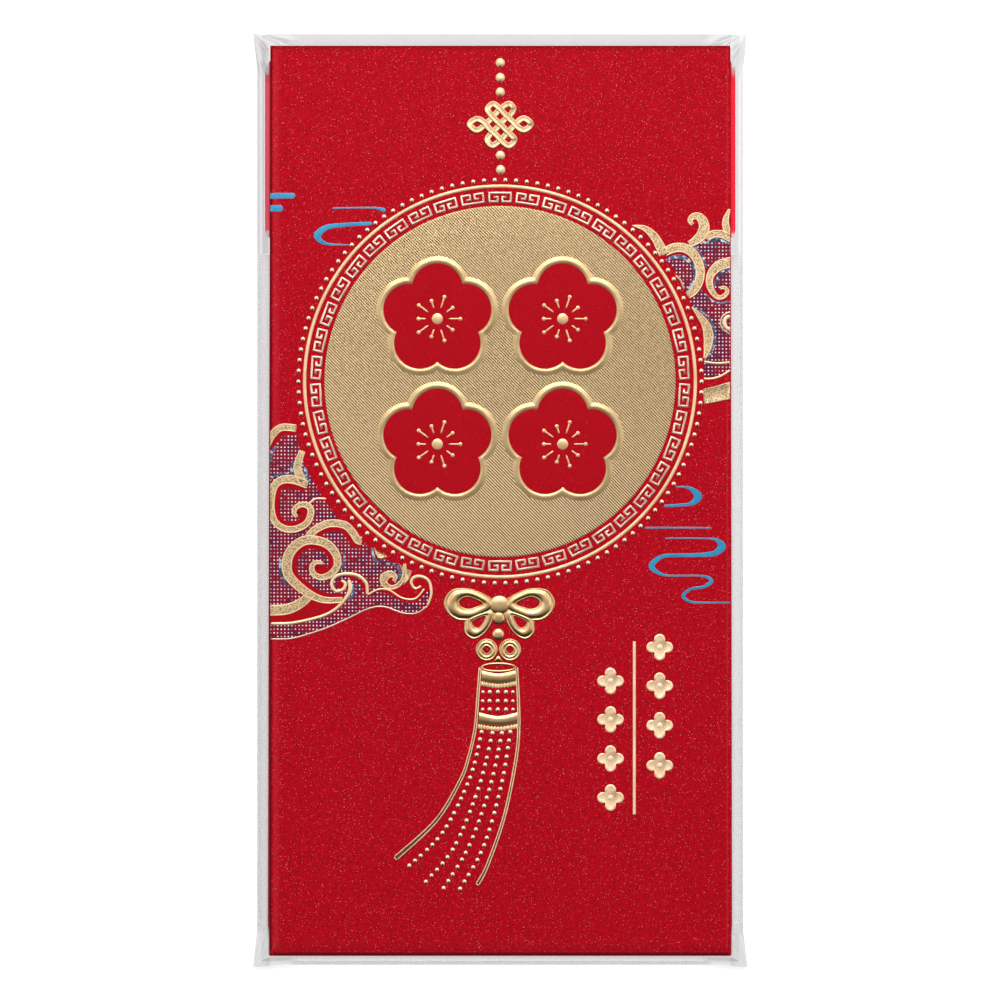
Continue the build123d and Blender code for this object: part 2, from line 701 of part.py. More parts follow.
def sleeve_wall(top, bottom, mouth, ear_rows):
    # One film of the sleeve: a shallow tray with a flat welded margin, open at its mouth
    rise = film if top > bottom else -film
    with BuildPart() as wall:
        for inset, lid in ((0, top), (film_wall, top - rise)):
            for level, half, low in ((bottom, base_half - inset, base_bottom + inset),
                                     (lid, crown_half - inset, crown_bottom + inset)):
                with BuildSketch(Plane.XY.offset(level)):
                    with Locations((0, (mouth + overrun + low) / 2)):
                        Rectangle(2 * half, mouth + overrun - low)
            loft(mode=Mode.SUBTRACT if inset else Mode.ADD)
        with BuildSketch(Plane.XY.offset(bottom)):
            with Locations((0, mouth + overrun)):
                Rectangle(2 * ear_half, 2 * overrun)
        extrude(amount=top - bottom, mode=Mode.SUBTRACT)
        with BuildSketch(Plane.XY.offset(bottom)):
            margin(mouth, ear_rows)
            inner_bottom = base_bottom + film_wall
            with Locations((0, (mouth + overrun + inner_bottom) / 2)):
                Rectangle(2 * (base_half - film_wall), mouth + overrun - inner_bottom, mode=Mode.SUBTRACT)
        extrude(amount=rise)
    return wall.part


def margin(mouth, ear_rows):
    # Outline of the welded margin, flared into ears at the corners
    half_points = [
        (0, sleeve_bottom),
        (ear_half - ear_length, sleeve_bottom),
        (ear_half, sleeve_bottom - ear_reach),
        (sleeve_half, sleeve_bottom + ear_length),
    ]
    if "mouth" in ear_rows:
        half_points += [(sleeve_half, mouth - ear_length), (ear_half, mouth + ear_reach), (base_half, mouth)]
    else:
        half_points += [(sleeve_half, mouth)]
    half_points += [(0, mouth)]
    with BuildLine() as path:
        Polyline(*half_points)
        Polyline(*[(-across, along) for across, along in half_points])
    make_face(path.line)


pieces["sleeve_front_film"] = sleeve_wall(
    sleeve_height, seam + weld_thickness / 2, sleeve_top, ("bottom", "mouth")
)
pieces["sleeve_back_film"] = sleeve_wall(0, seam - weld_thickness / 2, back_mouth, ("bottom",))

with BuildPart() as sleeve_side_welds:
    with BuildSketch(Plane.XY.offset(seam - weld_thickness / 2)):
        for side in (-1, 1):
            with BuildLine():
                weld_x = side * (base_half + sleeve_half) / 2
                Line((weld_x, sleeve_bottom + ear_length), (weld_x, back_mouth))
            trace(line_width=sleeve_half - base_half)
    extrude(amount=weld_thickness)
pieces["sleeve_side_welds"] = sleeve_side_welds.part

with BuildPart() as sleeve_bottom_weld:
    with BuildSketch(Plane.XY.offset(seam - weld_thickness / 2)):
        with BuildLine():
            weld_y = (base_bottom + sleeve_bottom) / 2
            Line((-crown_half, weld_y), (crown_half, weld_y))
        trace(line_width=base_bottom - sleeve_bottom)
    extrude(amount=weld_thickness)
pieces["sleeve_bottom_weld"] = sleeve_bottom_weld.part

for name, piece in pieces.items():
    piece.label = name
    export_step(piece, f"parts/{name}.step")
print("pieces", len(pieces), "height", round(sleeve_height, 3))
print("flap crease", round(crease_y, 3), round(crease_z, 3))
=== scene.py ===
from math import cos, pi, sin, sqrt

import bmesh
import bpy
from mathutils import Matrix, Vector
from mathutils.geometry import tessellate_polygon


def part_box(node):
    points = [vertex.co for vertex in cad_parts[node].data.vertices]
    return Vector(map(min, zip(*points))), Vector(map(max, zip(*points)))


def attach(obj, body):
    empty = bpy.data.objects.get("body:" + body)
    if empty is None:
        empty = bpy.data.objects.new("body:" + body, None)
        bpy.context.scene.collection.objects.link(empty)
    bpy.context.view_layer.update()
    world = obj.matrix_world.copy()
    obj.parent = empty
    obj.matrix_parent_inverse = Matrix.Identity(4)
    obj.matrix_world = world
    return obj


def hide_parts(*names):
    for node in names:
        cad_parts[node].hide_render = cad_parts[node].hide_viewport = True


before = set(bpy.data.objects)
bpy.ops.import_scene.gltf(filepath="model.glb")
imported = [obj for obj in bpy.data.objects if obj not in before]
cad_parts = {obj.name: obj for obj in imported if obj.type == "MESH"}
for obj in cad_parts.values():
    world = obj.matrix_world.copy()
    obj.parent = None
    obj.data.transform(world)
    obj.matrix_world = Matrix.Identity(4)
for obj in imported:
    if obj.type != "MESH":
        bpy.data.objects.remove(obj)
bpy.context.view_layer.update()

scene = bpy.context.scene
mm = 0.001
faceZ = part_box("front_panel")[1].z  # the printed face of the front panel
layout = {"pixels": 460.4, "centre": (500.2, 500.0), "width": 0.086}
pixel = layout["width"] / layout["pixels"]
print("frame loaded, face at", round(faceZ / mm, 3), "mm")


def at(point):  # a point of the drawing, in the frame
    return Vector(((point[0] - layout["centre"][0]) * pixel, (layout["centre"][1] - point[1]) * pixel))


# node helpers: a value that is a socket is linked, any other is set
def feed(socket, value):
    if hasattr(value, "is_linked"):
        socket.id_data.links.new(value, socket)
    elif socket.type == "RGBA" and len(value) == 3:
        socket.default_value = (*value, 1)
    else:
        socket.default_value = value


def addNode(tree, kind, settings=None, **values):
    node = tree.nodes.new(kind)
    for label, value in (settings or {}).items():
        setattr(node, label, value)
    for label, value in values.items():
        feed(node.inputs[label.replace("_", " ")], value)
    return node


def mathNode(operation, *values):
    tree = next(value.id_data for value in values if hasattr(value, "id_data"))
    node = addNode(tree, "ShaderNodeMath", {"operation": operation})
    for socket, value in zip(node.inputs, values):
        feed(socket, value)
    return node.outputs[0]


def chain(operation):
    def joined(first, *others):
        for other in others:
            first = mathNode(operation, first, other)
        return first
    return joined


times, plus, less, most = (chain(operation) for operation in ("MULTIPLY", "ADD", "SUBTRACT", "MAXIMUM"))


def lengthOf(across, along):
    return mathNode("SQRT", plus(times(across, across), times(along, along)))


def ramp(value, low, high):  # smooth step from 0 at low to 1 at high
    return addNode(value.id_data, "ShaderNodeMapRange", {"interpolation_type": "SMOOTHSTEP"},
                   Value=value, From_Min=low, From_Max=high).outputs[0]


def mixColour(factor, first, second):
    node = addNode(factor.id_data, "ShaderNodeMix", {"data_type": "RGBA"})
    for socket, value in ((0, factor), (6, first), (7, second)):
        feed(node.inputs[socket], value)
    return node.outputs[2]


def coordOf(tree, output="Object"):
    return addNode(tree, "ShaderNodeTexCoord").outputs[output]


def partsOf(tree, output="Object"):  # X, Y and Z of a coordinate
    return addNode(tree, "ShaderNodeSeparateXYZ", Vector=coordOf(tree, output)).outputs


def newMaterial(name, rough, **constants):
    material = bpy.data.materials.new(name)
    material.use_nodes = True
    inputs = material.node_tree.nodes["Principled BSDF"].inputs
    for label, value in {"Roughness": rough, **constants}.items():
        feed(inputs[label.replace("_", " ")], value)
    return material, material.node_tree, inputs


def addObject(name, data):
    made = bpy.data.objects.new(name, data)
    scene.collection.objects.link(made)
    return made


# camera and light
view = {"lens": 100.0, "sensor": 36.0, "span": 1000 * pixel, "across": (500.0 - 500.2) * pixel}
cameraData = bpy.data.cameras.new("photoCamera")
cameraData.lens = view["lens"]
cameraData.sensor_width = view["sensor"]
scene.camera = addObject("photoCamera", cameraData)
scene.camera.location = (view["across"], 0.0, faceZ + view["span"] * view["lens"] / view["sensor"])
scene.view_settings.view_transform = "Standard"

studio = {
    "lamps": {"top": ((0.0, 0.42, 0.50), 0.5, 4.2), "left": ((-0.95, 0.1, 0.8), 0.7, 2.2),
              "right": ((0.95, 0.1, 0.8), 0.7, 2.2)},  # place, size, power
    "skyReach": (-0.6, 0.5), "skyLight": (0.16, 0.62), "skyColour": (1.0, 0.99, 0.98),
    "floorHalf": 3, "floorZ": -0.0002,  # just under the film's back, so the two don't share a plane
    "floorGrey": (0.55, 0.55, 0.55), "floorGlow": 0.6,  # a lit table, so shadows stay faint
}
for lampName, (spot, size, power) in studio["lamps"].items():
    lampData = bpy.data.lights.new(lampName + "Light", "AREA")
    lampData.size = size
    lampData.energy = power
    lamp = addObject(lampName + "Light", lampData)
    lamp.location = spot
    lamp.rotation_euler = (-Vector(spot)).to_track_quat("-Z", "Y").to_euler()

scene.world = bpy.data.worlds.new("softSky")
scene.world.use_nodes = True
sky = scene.world.node_tree
(skyFrom, skyTo), (skyDim, skyBright) = studio["skyReach"], studio["skyLight"]
skyRange = addNode(sky, "ShaderNodeMapRange", Value=partsOf(sky, "Generated")["Y"], From_Min=skyFrom,
                   From_Max=skyTo, To_Min=skyDim, To_Max=skyBright)
feed(sky.nodes["Background"].inputs["Strength"], skyRange.outputs[0])
feed(sky.nodes["Background"].inputs["Color"], studio["skyColour"])

floorMesh = bpy.data.meshes.new("floor")
half = studio["floorHalf"]
floorMesh.from_pydata([(x, y, studio["floorZ"])
                       for x, y in ((-half, -half), (half, -half), (half, half), (-half, half))],
                      [], [(0, 1, 2, 3)])
floorMesh.materials.append(newMaterial("paleFloor", 0.9, Base_Color=studio["floorGrey"],
                                       Emission_Color=(1, 1, 1), Emission_Strength=studio["floorGlow"])[0])
floor = addObject("floor", floorMesh)
print("camera and light set")


# shared shader effects
def newGroup(name, inputs, outputs):
    group = bpy.data.node_groups.new(name, "ShaderNodeTree")
    for label, value in inputs.items():
        group.interface.new_socket(label, in_out="INPUT", socket_type="NodeSocketFloat").default_value = value
    for label in outputs:
        group.interface.new_socket(label, in_out="OUTPUT", socket_type="NodeSocketFloat")
    return group, group.nodes.new("NodeGroupInput").outputs, group.nodes.new("NodeGroupOutput").inputs


def makePearlFlake():  # cloudy paper tone with sparse bright flakes
    group, start, end = newGroup("pearlFlake",
                                 {"Tone Scale": 3800.0, "Flake Scale": 4600.0, "Flake Share": 0.86},
                                 ("Tone", "Flake", "Height"))
    coord = coordOf(group)
    noise = addNode(group, "ShaderNodeTexNoise", Vector=coord, Scale=start["Tone Scale"], Detail=4.0,
                    Roughness=0.7)
    cells = addNode(group, "ShaderNodeTexVoronoi", Vector=coord, Scale=start["Flake Scale"])
    pick = addNode(group, "ShaderNodeSeparateColor", Color=cells.outputs["Color"]).outputs
    chosen = mathNode("GREATER_THAN", pick[0], start["Flake Share"])
    feed(end["Tone"], noise.outputs[0])
    feed(end["Flake"], times(chosen, ramp(cells.outputs["Distance"], 0.42, 0.1), pick[1]))
    feed(end["Height"], plus(noise.outputs[0], pick[2]))
    return group


def makeFoilTone():  # uneven foil brightness with fine grain
    group, start, end = newGroup("foilTone", {"Scale": 260.0, "Grain Scale": 5200.0}, ("Tone", "Grain"))
    for label, target, detail in (("Scale", "Tone", 3.0), ("Grain Scale", "Grain", 2.0)):
        noise = addNode(group, "ShaderNodeTexNoise", Vector=coordOf(group), Scale=start[label], Detail=detail)
        feed(end[target], noise.outputs[0])
    return group


def makeHatch():  # straight ridges, turned by an angle
    group, start, end = newGroup("ridgeHatch", {"Pitch": 0.000423, "Turn": 0.785}, ("Ridge",))
    parts = partsOf(group)
    path = plus(times(parts["X"], mathNode("SINE", start["Turn"])),
                times(parts["Y"], mathNode("COSINE", start["Turn"])))
    wave = mathNode("SINE", times(mathNode("DIVIDE", path, start["Pitch"]), 2 * pi))
    feed(end["Ridge"], ramp(wave, -0.75, 0.45))
    return group


pearlFlake, foilTone, ridgeHatch = makePearlFlake(), makeFoilTone(), makeHatch()


def useGroup(tree, group, **values):
    return addNode(tree, "ShaderNodeGroup", {"node_tree": group}, **values).outputs


def bumpFrom(inputs, height, distance, strength):
    bump = addNode(height.id_data, "ShaderNodeBump", Strength=strength, Distance=distance, Height=height)
    feed(inputs["Normal"], bump.outputs[0])


paper = {
    "rough": 0.5, "specular": 0.02, "tone": (0.3, 0.7), "bump": (0.000012, 0.5),
    "lines": ((-0.0408, -0.0421, -0.0428), (0.0421, 0.0424, 0.0427)),  # painted highlights: pale lines beside the folds
    "foldHighlightShare": 0.13, "foldHighlightTint": (0.74, 0.06, 0.09), "dark": (0.17, 0.0, 0.004),
    "side": (0.0426, 0.0429), "sideShadeShare": 0.3, "end": (-0.0825, -0.0848), "endShadeShare": 0.42,  # painted shade: darker right edge and lower end
    "litPinkRun": (-0.02, 0.03), "upward": 0.3,
}


def pearlPaper(name, deep, light, flake, flakeShare, edges=False, inner=None):
    material, tree, inputs = newMaterial(name, paper["rough"], Specular_IOR_Level=paper["specular"])
    grain = useGroup(tree, pearlFlake, Flake_Share=flakeShare)
    colour = mixColour(ramp(grain["Tone"], *paper["tone"]), deep, light)
    colour = mixColour(grain["Flake"], colour, flake)
    # painted highlights beside the folds and painted shade at the right edge and the lower end
    if edges:
        x, y = partsOf(tree)[:2]
        for start, top, stop in paper["lines"]:
            line = times(ramp(x, start, top), ramp(x, stop, top), paper["foldHighlightShare"])
            colour = mixColour(line, colour, paper["foldHighlightTint"])
        dark = most(times(ramp(x, *paper["side"]), paper["sideShadeShare"]),
                    times(ramp(y, *paper["end"]), paper["endShadeShare"]))
        colour = mixColour(dark, colour, paper["dark"])
    if inner:  # the unprinted side is pinker; across the flap it is painted light, duller at the left and brighter at the right
        pink = mixColour(ramp(partsOf(tree)["X"], *paper["litPinkRun"]), *inner)
        upward = mathNode("GREATER_THAN", partsOf(tree, "Normal")["Z"], paper["upward"])
        colour = mixColour(upward, colour, pink)
    feed(inputs["Base Color"], colour)
    bumpFrom(inputs, grain["Height"], *paper["bump"])
    return material


foilLook = {"tone": (0.3, 0.7), "slope": (-0.05, -0.38), "shaded": (0.06, 0.026, 0.008),
            "bump": (0.00001, 0.4)}


def foil(name, dark, light, rough, metal=0.8, shade=0.0, specular=0.5):
    material, tree, inputs = newMaterial(name, rough, Metallic=metal, Specular_IOR_Level=specular)
    tone = useGroup(tree, foilTone)
    colour = mixColour(ramp(tone["Tone"], *foilLook["tone"]), dark, light)
    if shade:  # painted shade: slopes that face the lower end, away from the top light, are darker
        slopeShade = ramp(partsOf(tree, "Normal")["Y"], *foilLook["slope"])
        colour = mixColour(times(slopeShade, shade), colour, foilLook["shaded"])
    feed(inputs["Base Color"], colour)
    bumpFrom(inputs, tone["Grain"], *foilLook["bump"])
    return material


reds = (0.225, 0.0, 0.003), (0.52, 0.0002, 0.011), (1.0, 0.25, 0.29), 0.83
pinks = (0.72, 0.02, 0.065), (0.96, 0.0, 0.03)
redPaper = pearlPaper("pearlRedPaper", *reds)
frontPaperPaintedEdges = pearlPaper("frontRedPaperPaintedEdges", *reds, edges=True)
shadedPaper = pearlPaper("shadedRedPaper", (0.11, 0.0, 0.001), (0.19, 0.0, 0.004), (0.3, 0.03, 0.04), 0.95)
flapPaper = pearlPaper("flapRedPaper", *reds, inner=pinks)
redFill = pearlPaper("pressedRedPaper", (0.29, 0.0005, 0.004), (0.42, 0.001, 0.009), (0.6, 0.06, 0.08), 0.93)
brightGold = foil("brightGoldFoil", (0.62, 0.39, 0.17), (0.80, 0.54, 0.28), 0.34, 0.9, shade=0.88)
knotGold = foil("knotGoldFoil", (0.56, 0.365, 0.19), (0.70, 0.475, 0.265), 0.4, 0.6, shade=0.35)
paleGold = foil("paleGoldFoil", (0.68, 0.425, 0.215), (0.82, 0.55, 0.305), 0.38, 0.65)
creamGold = foil("creamGoldFoil", (0.88, 0.60, 0.36), (0.97, 0.72, 0.46), 0.4, 0.35)
lineGold = foil("lineGoldFoil", (0.84, 0.57, 0.33), (0.95, 0.69, 0.43), 0.38, 0.45, shade=0.42)
ringGold = foil("ringGoldFoil", (0.74, 0.485, 0.265), (0.86, 0.59, 0.345), 0.42, 0.42)
ropeGold = foil("ropeGoldFoil", (0.66, 0.53, 0.27), (0.80, 0.66, 0.37), 0.4, 0.4)
beadGold = foil("beadGoldFoil", (0.96, 0.74, 0.50), (1.0, 0.84, 0.62), 0.28, 0.6)
rimGold = foil("rimGoldFoil", (0.47, 0.315, 0.15), (0.60, 0.42, 0.215), 0.36, 0.7)
# painted shade: dark gold for the shaded spot low on each bead and the grooves of the tassel lines
shadeGold = foil("shadeGoldFoil", (0.09, 0.036, 0.014), (0.15, 0.07, 0.028), 0.5, 0.1, specular=0.12)
silverGold = foil("silverGoldFoil", (0.56, 0.43, 0.33), (0.80, 0.61, 0.47), 0.38)
blueFoil = foil("blueFoil", (0.004, 0.20, 0.38), (0.009, 0.265, 0.47), 0.42, 0.15)
greyBlueFoil = foil("greyBlueFoil", (0.05, 0.18, 0.29), (0.08, 0.23, 0.36), 0.42, 0.15)

hatch = {
    "groove": (0.055, 0.026, 0.007), "ridge": (0.64, 0.45, 0.23), "bump": (0.00004, 0.6),
    "grain": (0.35, 0.7, 0.5, (0.5, 0.35, 0.175)),  # from, to, share, tint
    "wear": ((0.5, 0.68, 0.24, (0.13, 0.072, 0.025)), (0.47, 0.33, 0.18, (0.86, 0.66, 0.40))),
    "below": (0.035, -0.010), "glow": (0.62, (0.97, 0.71, 0.40)), "gloom": (0.6, (0.02, 0.009, 0.002)),
}
hatchedGold, tree, inputs = newMaterial("hatchedGoldFoil", 0.38, Metallic=0.6)
ridge, grain = useGroup(tree, ridgeHatch)["Ridge"], useGroup(tree, foilTone)["Grain"]
wear = useGroup(tree, foilTone, Scale=900.0, Grain_Scale=2600.0)["Grain"]
colour = mixColour(ridge, hatch["groove"], hatch["ridge"])
for mask, (low, high, share, tint) in zip((grain, wear, wear), (hatch["grain"], *hatch["wear"])):
    colour = mixColour(times(ramp(mask, low, high), share), colour, tint)
below = ramp(partsOf(tree)["Y"], *hatch["below"])  # painted light and shade: in the lower part the ridges are painted lighter and the grooves darker
lower = times(below, ridge)
for mask, (share, tint) in ((lower, hatch["glow"]), (less(below, lower), hatch["gloom"])):
    colour = mixColour(times(mask, share), colour, tint)
feed(inputs["Base Color"], colour)
bumpFrom(inputs, ridge, *hatch["bump"])

stipple = {"scale": 4000.0, "pit": (0.18, 0.6), "low": (0.085, 0.045, 0.014), "high": (0.66, 0.475, 0.255),
           "bump": (0.00003, 0.7)}
stippledGold, tree, inputs = newMaterial("stippledGoldFoil", 0.42, Metallic=0.45)
specks = addNode(tree, "ShaderNodeTexVoronoi", Vector=coordOf(tree), Scale=stipple["scale"])
pit = ramp(specks.outputs["Distance"], *stipple["pit"])
feed(inputs["Base Color"], mixColour(pit, stipple["low"], stipple["high"]))
bumpFrom(inputs, pit, *stipple["bump"])

dotted = {  # maroon ground with a grid of pale dots
    "pitch": (("X", 0.000665), ("Y", 0.00068)), "dot": (0.28, 0.1), "fade": (0.22, 0.62), "fadeScale": 1500.0,
    "tone": (0.35, 0.68), "ground": ((0.22, 0.002, 0.015), (0.105, 0.004, 0.032)),
    "grain": (0.5, 0.72), "dots": ((0.95, 0.84, 0.90), (0.56, 0.74, 0.88)),
}
dottedGround, tree, inputs = newMaterial("dottedGround", 0.4, Specular_IOR_Level=0.1)
parts = partsOf(tree)
offsets = [less(mathNode("FRACT", mathNode("DIVIDE", parts[axis], pitch)), 0.5)
           for axis, pitch in dotted["pitch"]]
fade = addNode(tree, "ShaderNodeTexNoise", Vector=coordOf(tree), Scale=dotted["fadeScale"], Detail=0.0)
dots = times(ramp(lengthOf(*offsets), *dotted["dot"]), ramp(fade.outputs[0], *dotted["fade"]))
tint = useGroup(tree, foilTone, Scale=420.0, Grain_Scale=900.0)
ground = mixColour(ramp(tint["Tone"], *dotted["tone"]), *dotted["ground"])
glow = mixColour(ramp(tint["Grain"], *dotted["grain"]), *dotted["dots"])
feed(inputs["Base Color"], mixColour(dots, ground, glow))

glints = {"tone": (0.35, 0.65), "deep": ((0.014, 0.02, 0.06), (0.045, 0.13, 0.27)), "grain": (0.52, 0.66),
          "bright": (0.5, 0.62, 0.7)}
holoFoil, tree, inputs = newMaterial("holographicFoil", 0.35, Metallic=0.3)
tint = useGroup(tree, foilTone, Scale=520.0, Grain_Scale=1400.0)
deep = mixColour(ramp(tint["Tone"], *glints["tone"]), *glints["deep"])
feed(inputs["Base Color"], mixColour(ramp(tint["Grain"], *glints["grain"]), deep, glints["bright"]))
print("materials ready")


def dress(node, material):  # a CAD solid that keeps its shape
    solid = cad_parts[node]
    solid.data.materials.clear()
    solid.data.materials.append(material)


def placePiece(name, mesh, materials, nodes):
    for material in materials:
        mesh.materials.append(material)
    piece = addObject(name, mesh)
    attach(piece, "envelope")
    if nodes:
        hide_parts(*nodes)


def toMesh(name, shape):
    mesh = bpy.data.meshes.new(name)
    shape.to_mesh(mesh)
    shape.free()
    return mesh


def finishPiece(name, shape, materials, nodes):  # smooth and seen from above
    bmesh.ops.remove_doubles(shape, verts=shape.verts, dist=1e-8)
    for face in shape.faces:
        face.normal_update()
        if face.normal.z < 0:
            face.normal_flip()
    mesh = toMesh(name, shape)
    mesh.shade_smooth()
    placePiece(name, mesh, materials, nodes)


# drawing helpers: runs are lists of flat points in the frame
def rays(count):  # unit directions all round
    return [Vector((cos(2 * pi * k / count), sin(2 * pi * k / count))) for k in range(count)]


def circleRun(centre, radius, sides):
    return [centre + ray * radius * pixel for ray in rays(sides)]


def scaled(section, rise):
    return [(across, height * rise) for across, height in section]


def smoothRun(points, steps=8, closed=False):
    spots = [at(point) for point in points]
    count = len(spots)
    run = []
    for span in range(count if closed else count - 1):
        if closed:
            a, b, c, d = (spots[(span + shift) % count] for shift in (-1, 0, 1, 2))
        else:
            a, b, c, d = (spots[min(max(span + shift, 0), count - 1)] for shift in (-1, 0, 1, 2))
        for step in range(steps):
            t = step / steps
            run.append(0.5 * (2 * b + (c - a) * t + (2 * a - 5 * b + 4 * c - d) * t * t
                              + (3 * b - a - 3 * c + d) * t ** 3))
    if not closed:
        run.append(spots[-1])
    return run


def walkedOn(run):  # distance from the start at each point
    walked = [0.0]
    for i in range(1, len(run)):
        walked.append(walked[-1] + (run[i] - run[i - 1]).length)
    return walked


def directions(run, closed=False):
    count = len(run)
    result = []
    for i in range(count):
        back = run[i - 1] if closed or i else run[0]
        ahead = run[(i + 1) % count] if closed or i < count - 1 else run[-1]
        result.append((ahead - back).normalized())
    return result


def skin(shape, rows, closedRows=False, closedRun=False, finish=0):  # quads between rows of vertices
    for i in range(len(rows) if closedRun else len(rows) - 1):
        near, far = rows[i], rows[(i + 1) % len(rows)]
        for j in range(len(near) if closedRows else len(near) - 1):
            corners = [near[j], near[(j + 1) % len(near)], far[(j + 1) % len(far)], far[j]]
            if len(set(corners)) == 4:
                shape.faces.new(corners).material_index = finish


def sweep(shape, run, half, profile, closed=False, lift=None, tips=True, finish=0, base=0.0):
    # half is the half width, one number or one for each point; profile holds (place across, height)
    halves = half if isinstance(half, list) else [half] * len(run)
    walked = walkedOn(run)
    rows = []
    for i, heading in enumerate(directions(run, closed)):
        narrow = 1.0
        if tips and not closed:  # round ends
            for distance in (walked[i], walked[-1] - walked[i]):
                if distance < halves[i]:
                    narrow *= sqrt(max(1 - (1 - distance / halves[i]) ** 2, 0.0004))
        side = Vector((-heading.y, heading.x))
        raised = lift[i] if lift else 0.0
        rows.append([
            shape.verts.new((*(run[i] + side * across * halves[i] * narrow),
                             faceZ + base + (height + (raised if height else 0.0)) * sqrt(narrow)))
            for across, height in profile
        ])
    skin(shape, rows, closedRun=closed, finish=finish)


def dome(shape, centre, radii, height, rings=5, sides=24, base=0.0, finish=0):
    rows = []
    for ring in range(rings):
        tilt = pi / 2 * ring / rings
        rows.append([
            shape.verts.new((centre.x + radii[0] * cos(tilt) * cos(2 * pi * k / sides),
                             centre.y + radii[1] * cos(tilt) * sin(2 * pi * k / sides),
                             faceZ + base + height * sin(tilt)))
            for k in range(sides)
        ])
    skin(shape, rows, closedRows=True, finish=finish)
    shape.faces.new(rows[-1]).material_index = finish


def stack(shape, loops, fill=True):  # closed loops with their heights, outermost first
    rows = [[shape.verts.new((*spot, faceZ + height)) for spot in loop] for loop, height in loops]
    skin(shape, rows, closedRows=True)
    if fill:
        shape.faces.new(rows[-1])


def rayHit(loop, centre, ray):  # the far point of a closed run seen from inside it
    best = 0.0
    for i in range(len(loop)):
        a, b = loop[i] - centre, loop[(i + 1) % len(loop)] - centre
        edge = b - a
        cross = ray.x * edge.y - ray.y * edge.x
        if abs(cross) < 1e-14:
            continue
        distance = (a.x * edge.y - a.y * edge.x) / cross
        share = (a.x * ray.y - a.y * ray.x) / cross
        if -1e-9 <= share <= 1 + 1e-9 and distance > best:
            best = distance
    return centre + ray * best


def between(shape, outer, inner, profile, closed=False):
    # a raised band between two runs; profile holds (share from outer to inner, height)
    skin(shape, [[shape.verts.new((*far.lerp(near, share), faceZ + height)) for share, height in profile]
                 for far, near in zip(outer, inner)], closedRun=closed)


def bandLoop(shape, outer, inner, centre, profile, sides=72):  # the runs are met by rays from the centre
    met = [[rayHit(loop, centre, ray) for ray in rays(sides)] for loop in (outer, inner)]
    between(shape, *met, profile, True)


def petalLoop(centre, reach, petal, count, grow, sides=160):  # outline of a blossom of round petals
    loop = []
    for k in range(sides):
        angle = 2 * pi * k / sides
        best = 0.0
        for leaf in range(count):
            turn = angle - (pi / 2 + 2 * pi * leaf / count)
            inside = (petal + grow) ** 2 - (reach * sin(turn)) ** 2
            if inside >= 0 and cos(turn) > -0.2:
                best = max(best, reach * cos(turn) + sqrt(inside))
        loop.append(centre + Vector((cos(angle), sin(angle))) * max(best, reach))
    return loop


def roundProfile(height, steps=6):  # half-round section
    return [(-cos(pi * k / steps), height * sin(pi * k / steps)) for k in range(steps + 1)]


def spreadWidths(widths, count):  # half widths along a run from a few full widths
    halves = []
    for i in range(count):
        place = i / (count - 1) * (len(widths) - 1)
        low = min(int(place), len(widths) - 2) if len(widths) > 1 else 0
        high = widths[low + 1] if len(widths) > 1 else widths[0]
        halves.append((widths[low] + (high - widths[low]) * (place - low)) / 2 * pixel)
    return halves


def beside(run, distances):  # a run moved sideways, one distance for each point
    return [spot + Vector((-heading.y, heading.x)) * distance
            for spot, heading, distance in zip(run, directions(run), distances)]


def middleOf(loop):
    return sum(loop, Vector((0, 0))) / len(loop)


# one node tree sets a stamped shape on every point of a mesh
def makeStampTree():
    tree = bpy.data.node_groups.new("stampOnPoints", "GeometryNodeTree")
    for label, kind in (("Points", "Geometry"), ("Stamp", "Object"), ("Finish", "Material")):
        tree.interface.new_socket(label, in_out="INPUT", socket_type="NodeSocket" + kind)
    tree.interface.new_socket("Shapes", in_out="OUTPUT", socket_type="NodeSocketGeometry")
    start = tree.nodes.new("NodeGroupInput").outputs
    turn, size = (addNode(tree, "GeometryNodeInputNamedAttribute", Name=label).outputs["Attribute"]
                  for label in ("turn", "size"))
    spin = addNode(tree, "FunctionNodeEulerToRotation")
    feed(spin.inputs[0], addNode(tree, "ShaderNodeCombineXYZ", Z=turn).outputs[0])
    stamp = addNode(tree, "GeometryNodeObjectInfo", Object=start["Stamp"]).outputs["Geometry"]
    setOut = addNode(tree, "GeometryNodeInstanceOnPoints", Points=start["Points"], Instance=stamp,
                     Rotation=spin.outputs[0], Scale=size)
    realise = addNode(tree, "GeometryNodeRealizeInstances", Geometry=setOut.outputs[0])
    paint = addNode(tree, "GeometryNodeSetMaterial", Geometry=realise.outputs[0], Material=start["Finish"])
    feed(tree.nodes.new("NodeGroupOutput").inputs["Shapes"], paint.outputs[0])
    return tree


stampTree = makeStampTree()
stampSockets = {item.name: item.identifier
                for item in stampTree.interface.items_tree if item.in_out == "INPUT"}


def stampAll(name, shape, spots, material, nodes):
    # spots hold (flat point, turn, size); the stamp's own mesh is drawn round the origin
    bmesh.ops.recalc_face_normals(shape, faces=shape.faces)
    stampMesh = toMesh(name + "Stamp", shape)
    stampMesh.shade_smooth()
    stamp = addObject(name + "Stamp", stampMesh)
    pointMesh = bpy.data.meshes.new(name + "Points")
    pointMesh.from_pydata([(*spot[0], 0.0) for spot in spots], [], [])
    for label, column in (("turn", 1), ("size", 2)):
        attribute = pointMesh.attributes.new(label, "FLOAT", "POINT")
        attribute.data.foreach_set("value", [spot[column] for spot in spots])
    points = addObject(name + "Points", pointMesh)
    modifier = points.modifiers.new("stamp", "NODES")
    modifier.node_group = stampTree
    modifier[stampSockets["Stamp"]] = stamp
    modifier[stampSockets["Finish"]] = material
    graph = bpy.context.evaluated_depsgraph_get()
    mesh = bpy.data.meshes.new_from_object(points.evaluated_get(graph))
    mesh.name = name
    points.modifiers.clear()
    for spare in (points, stamp):
        bpy.data.objects.remove(spare)
    mesh.transform(Matrix.Translation((0, 0, faceZ)))
    mesh.materials.clear()
    placePiece(name, mesh, [material], nodes)


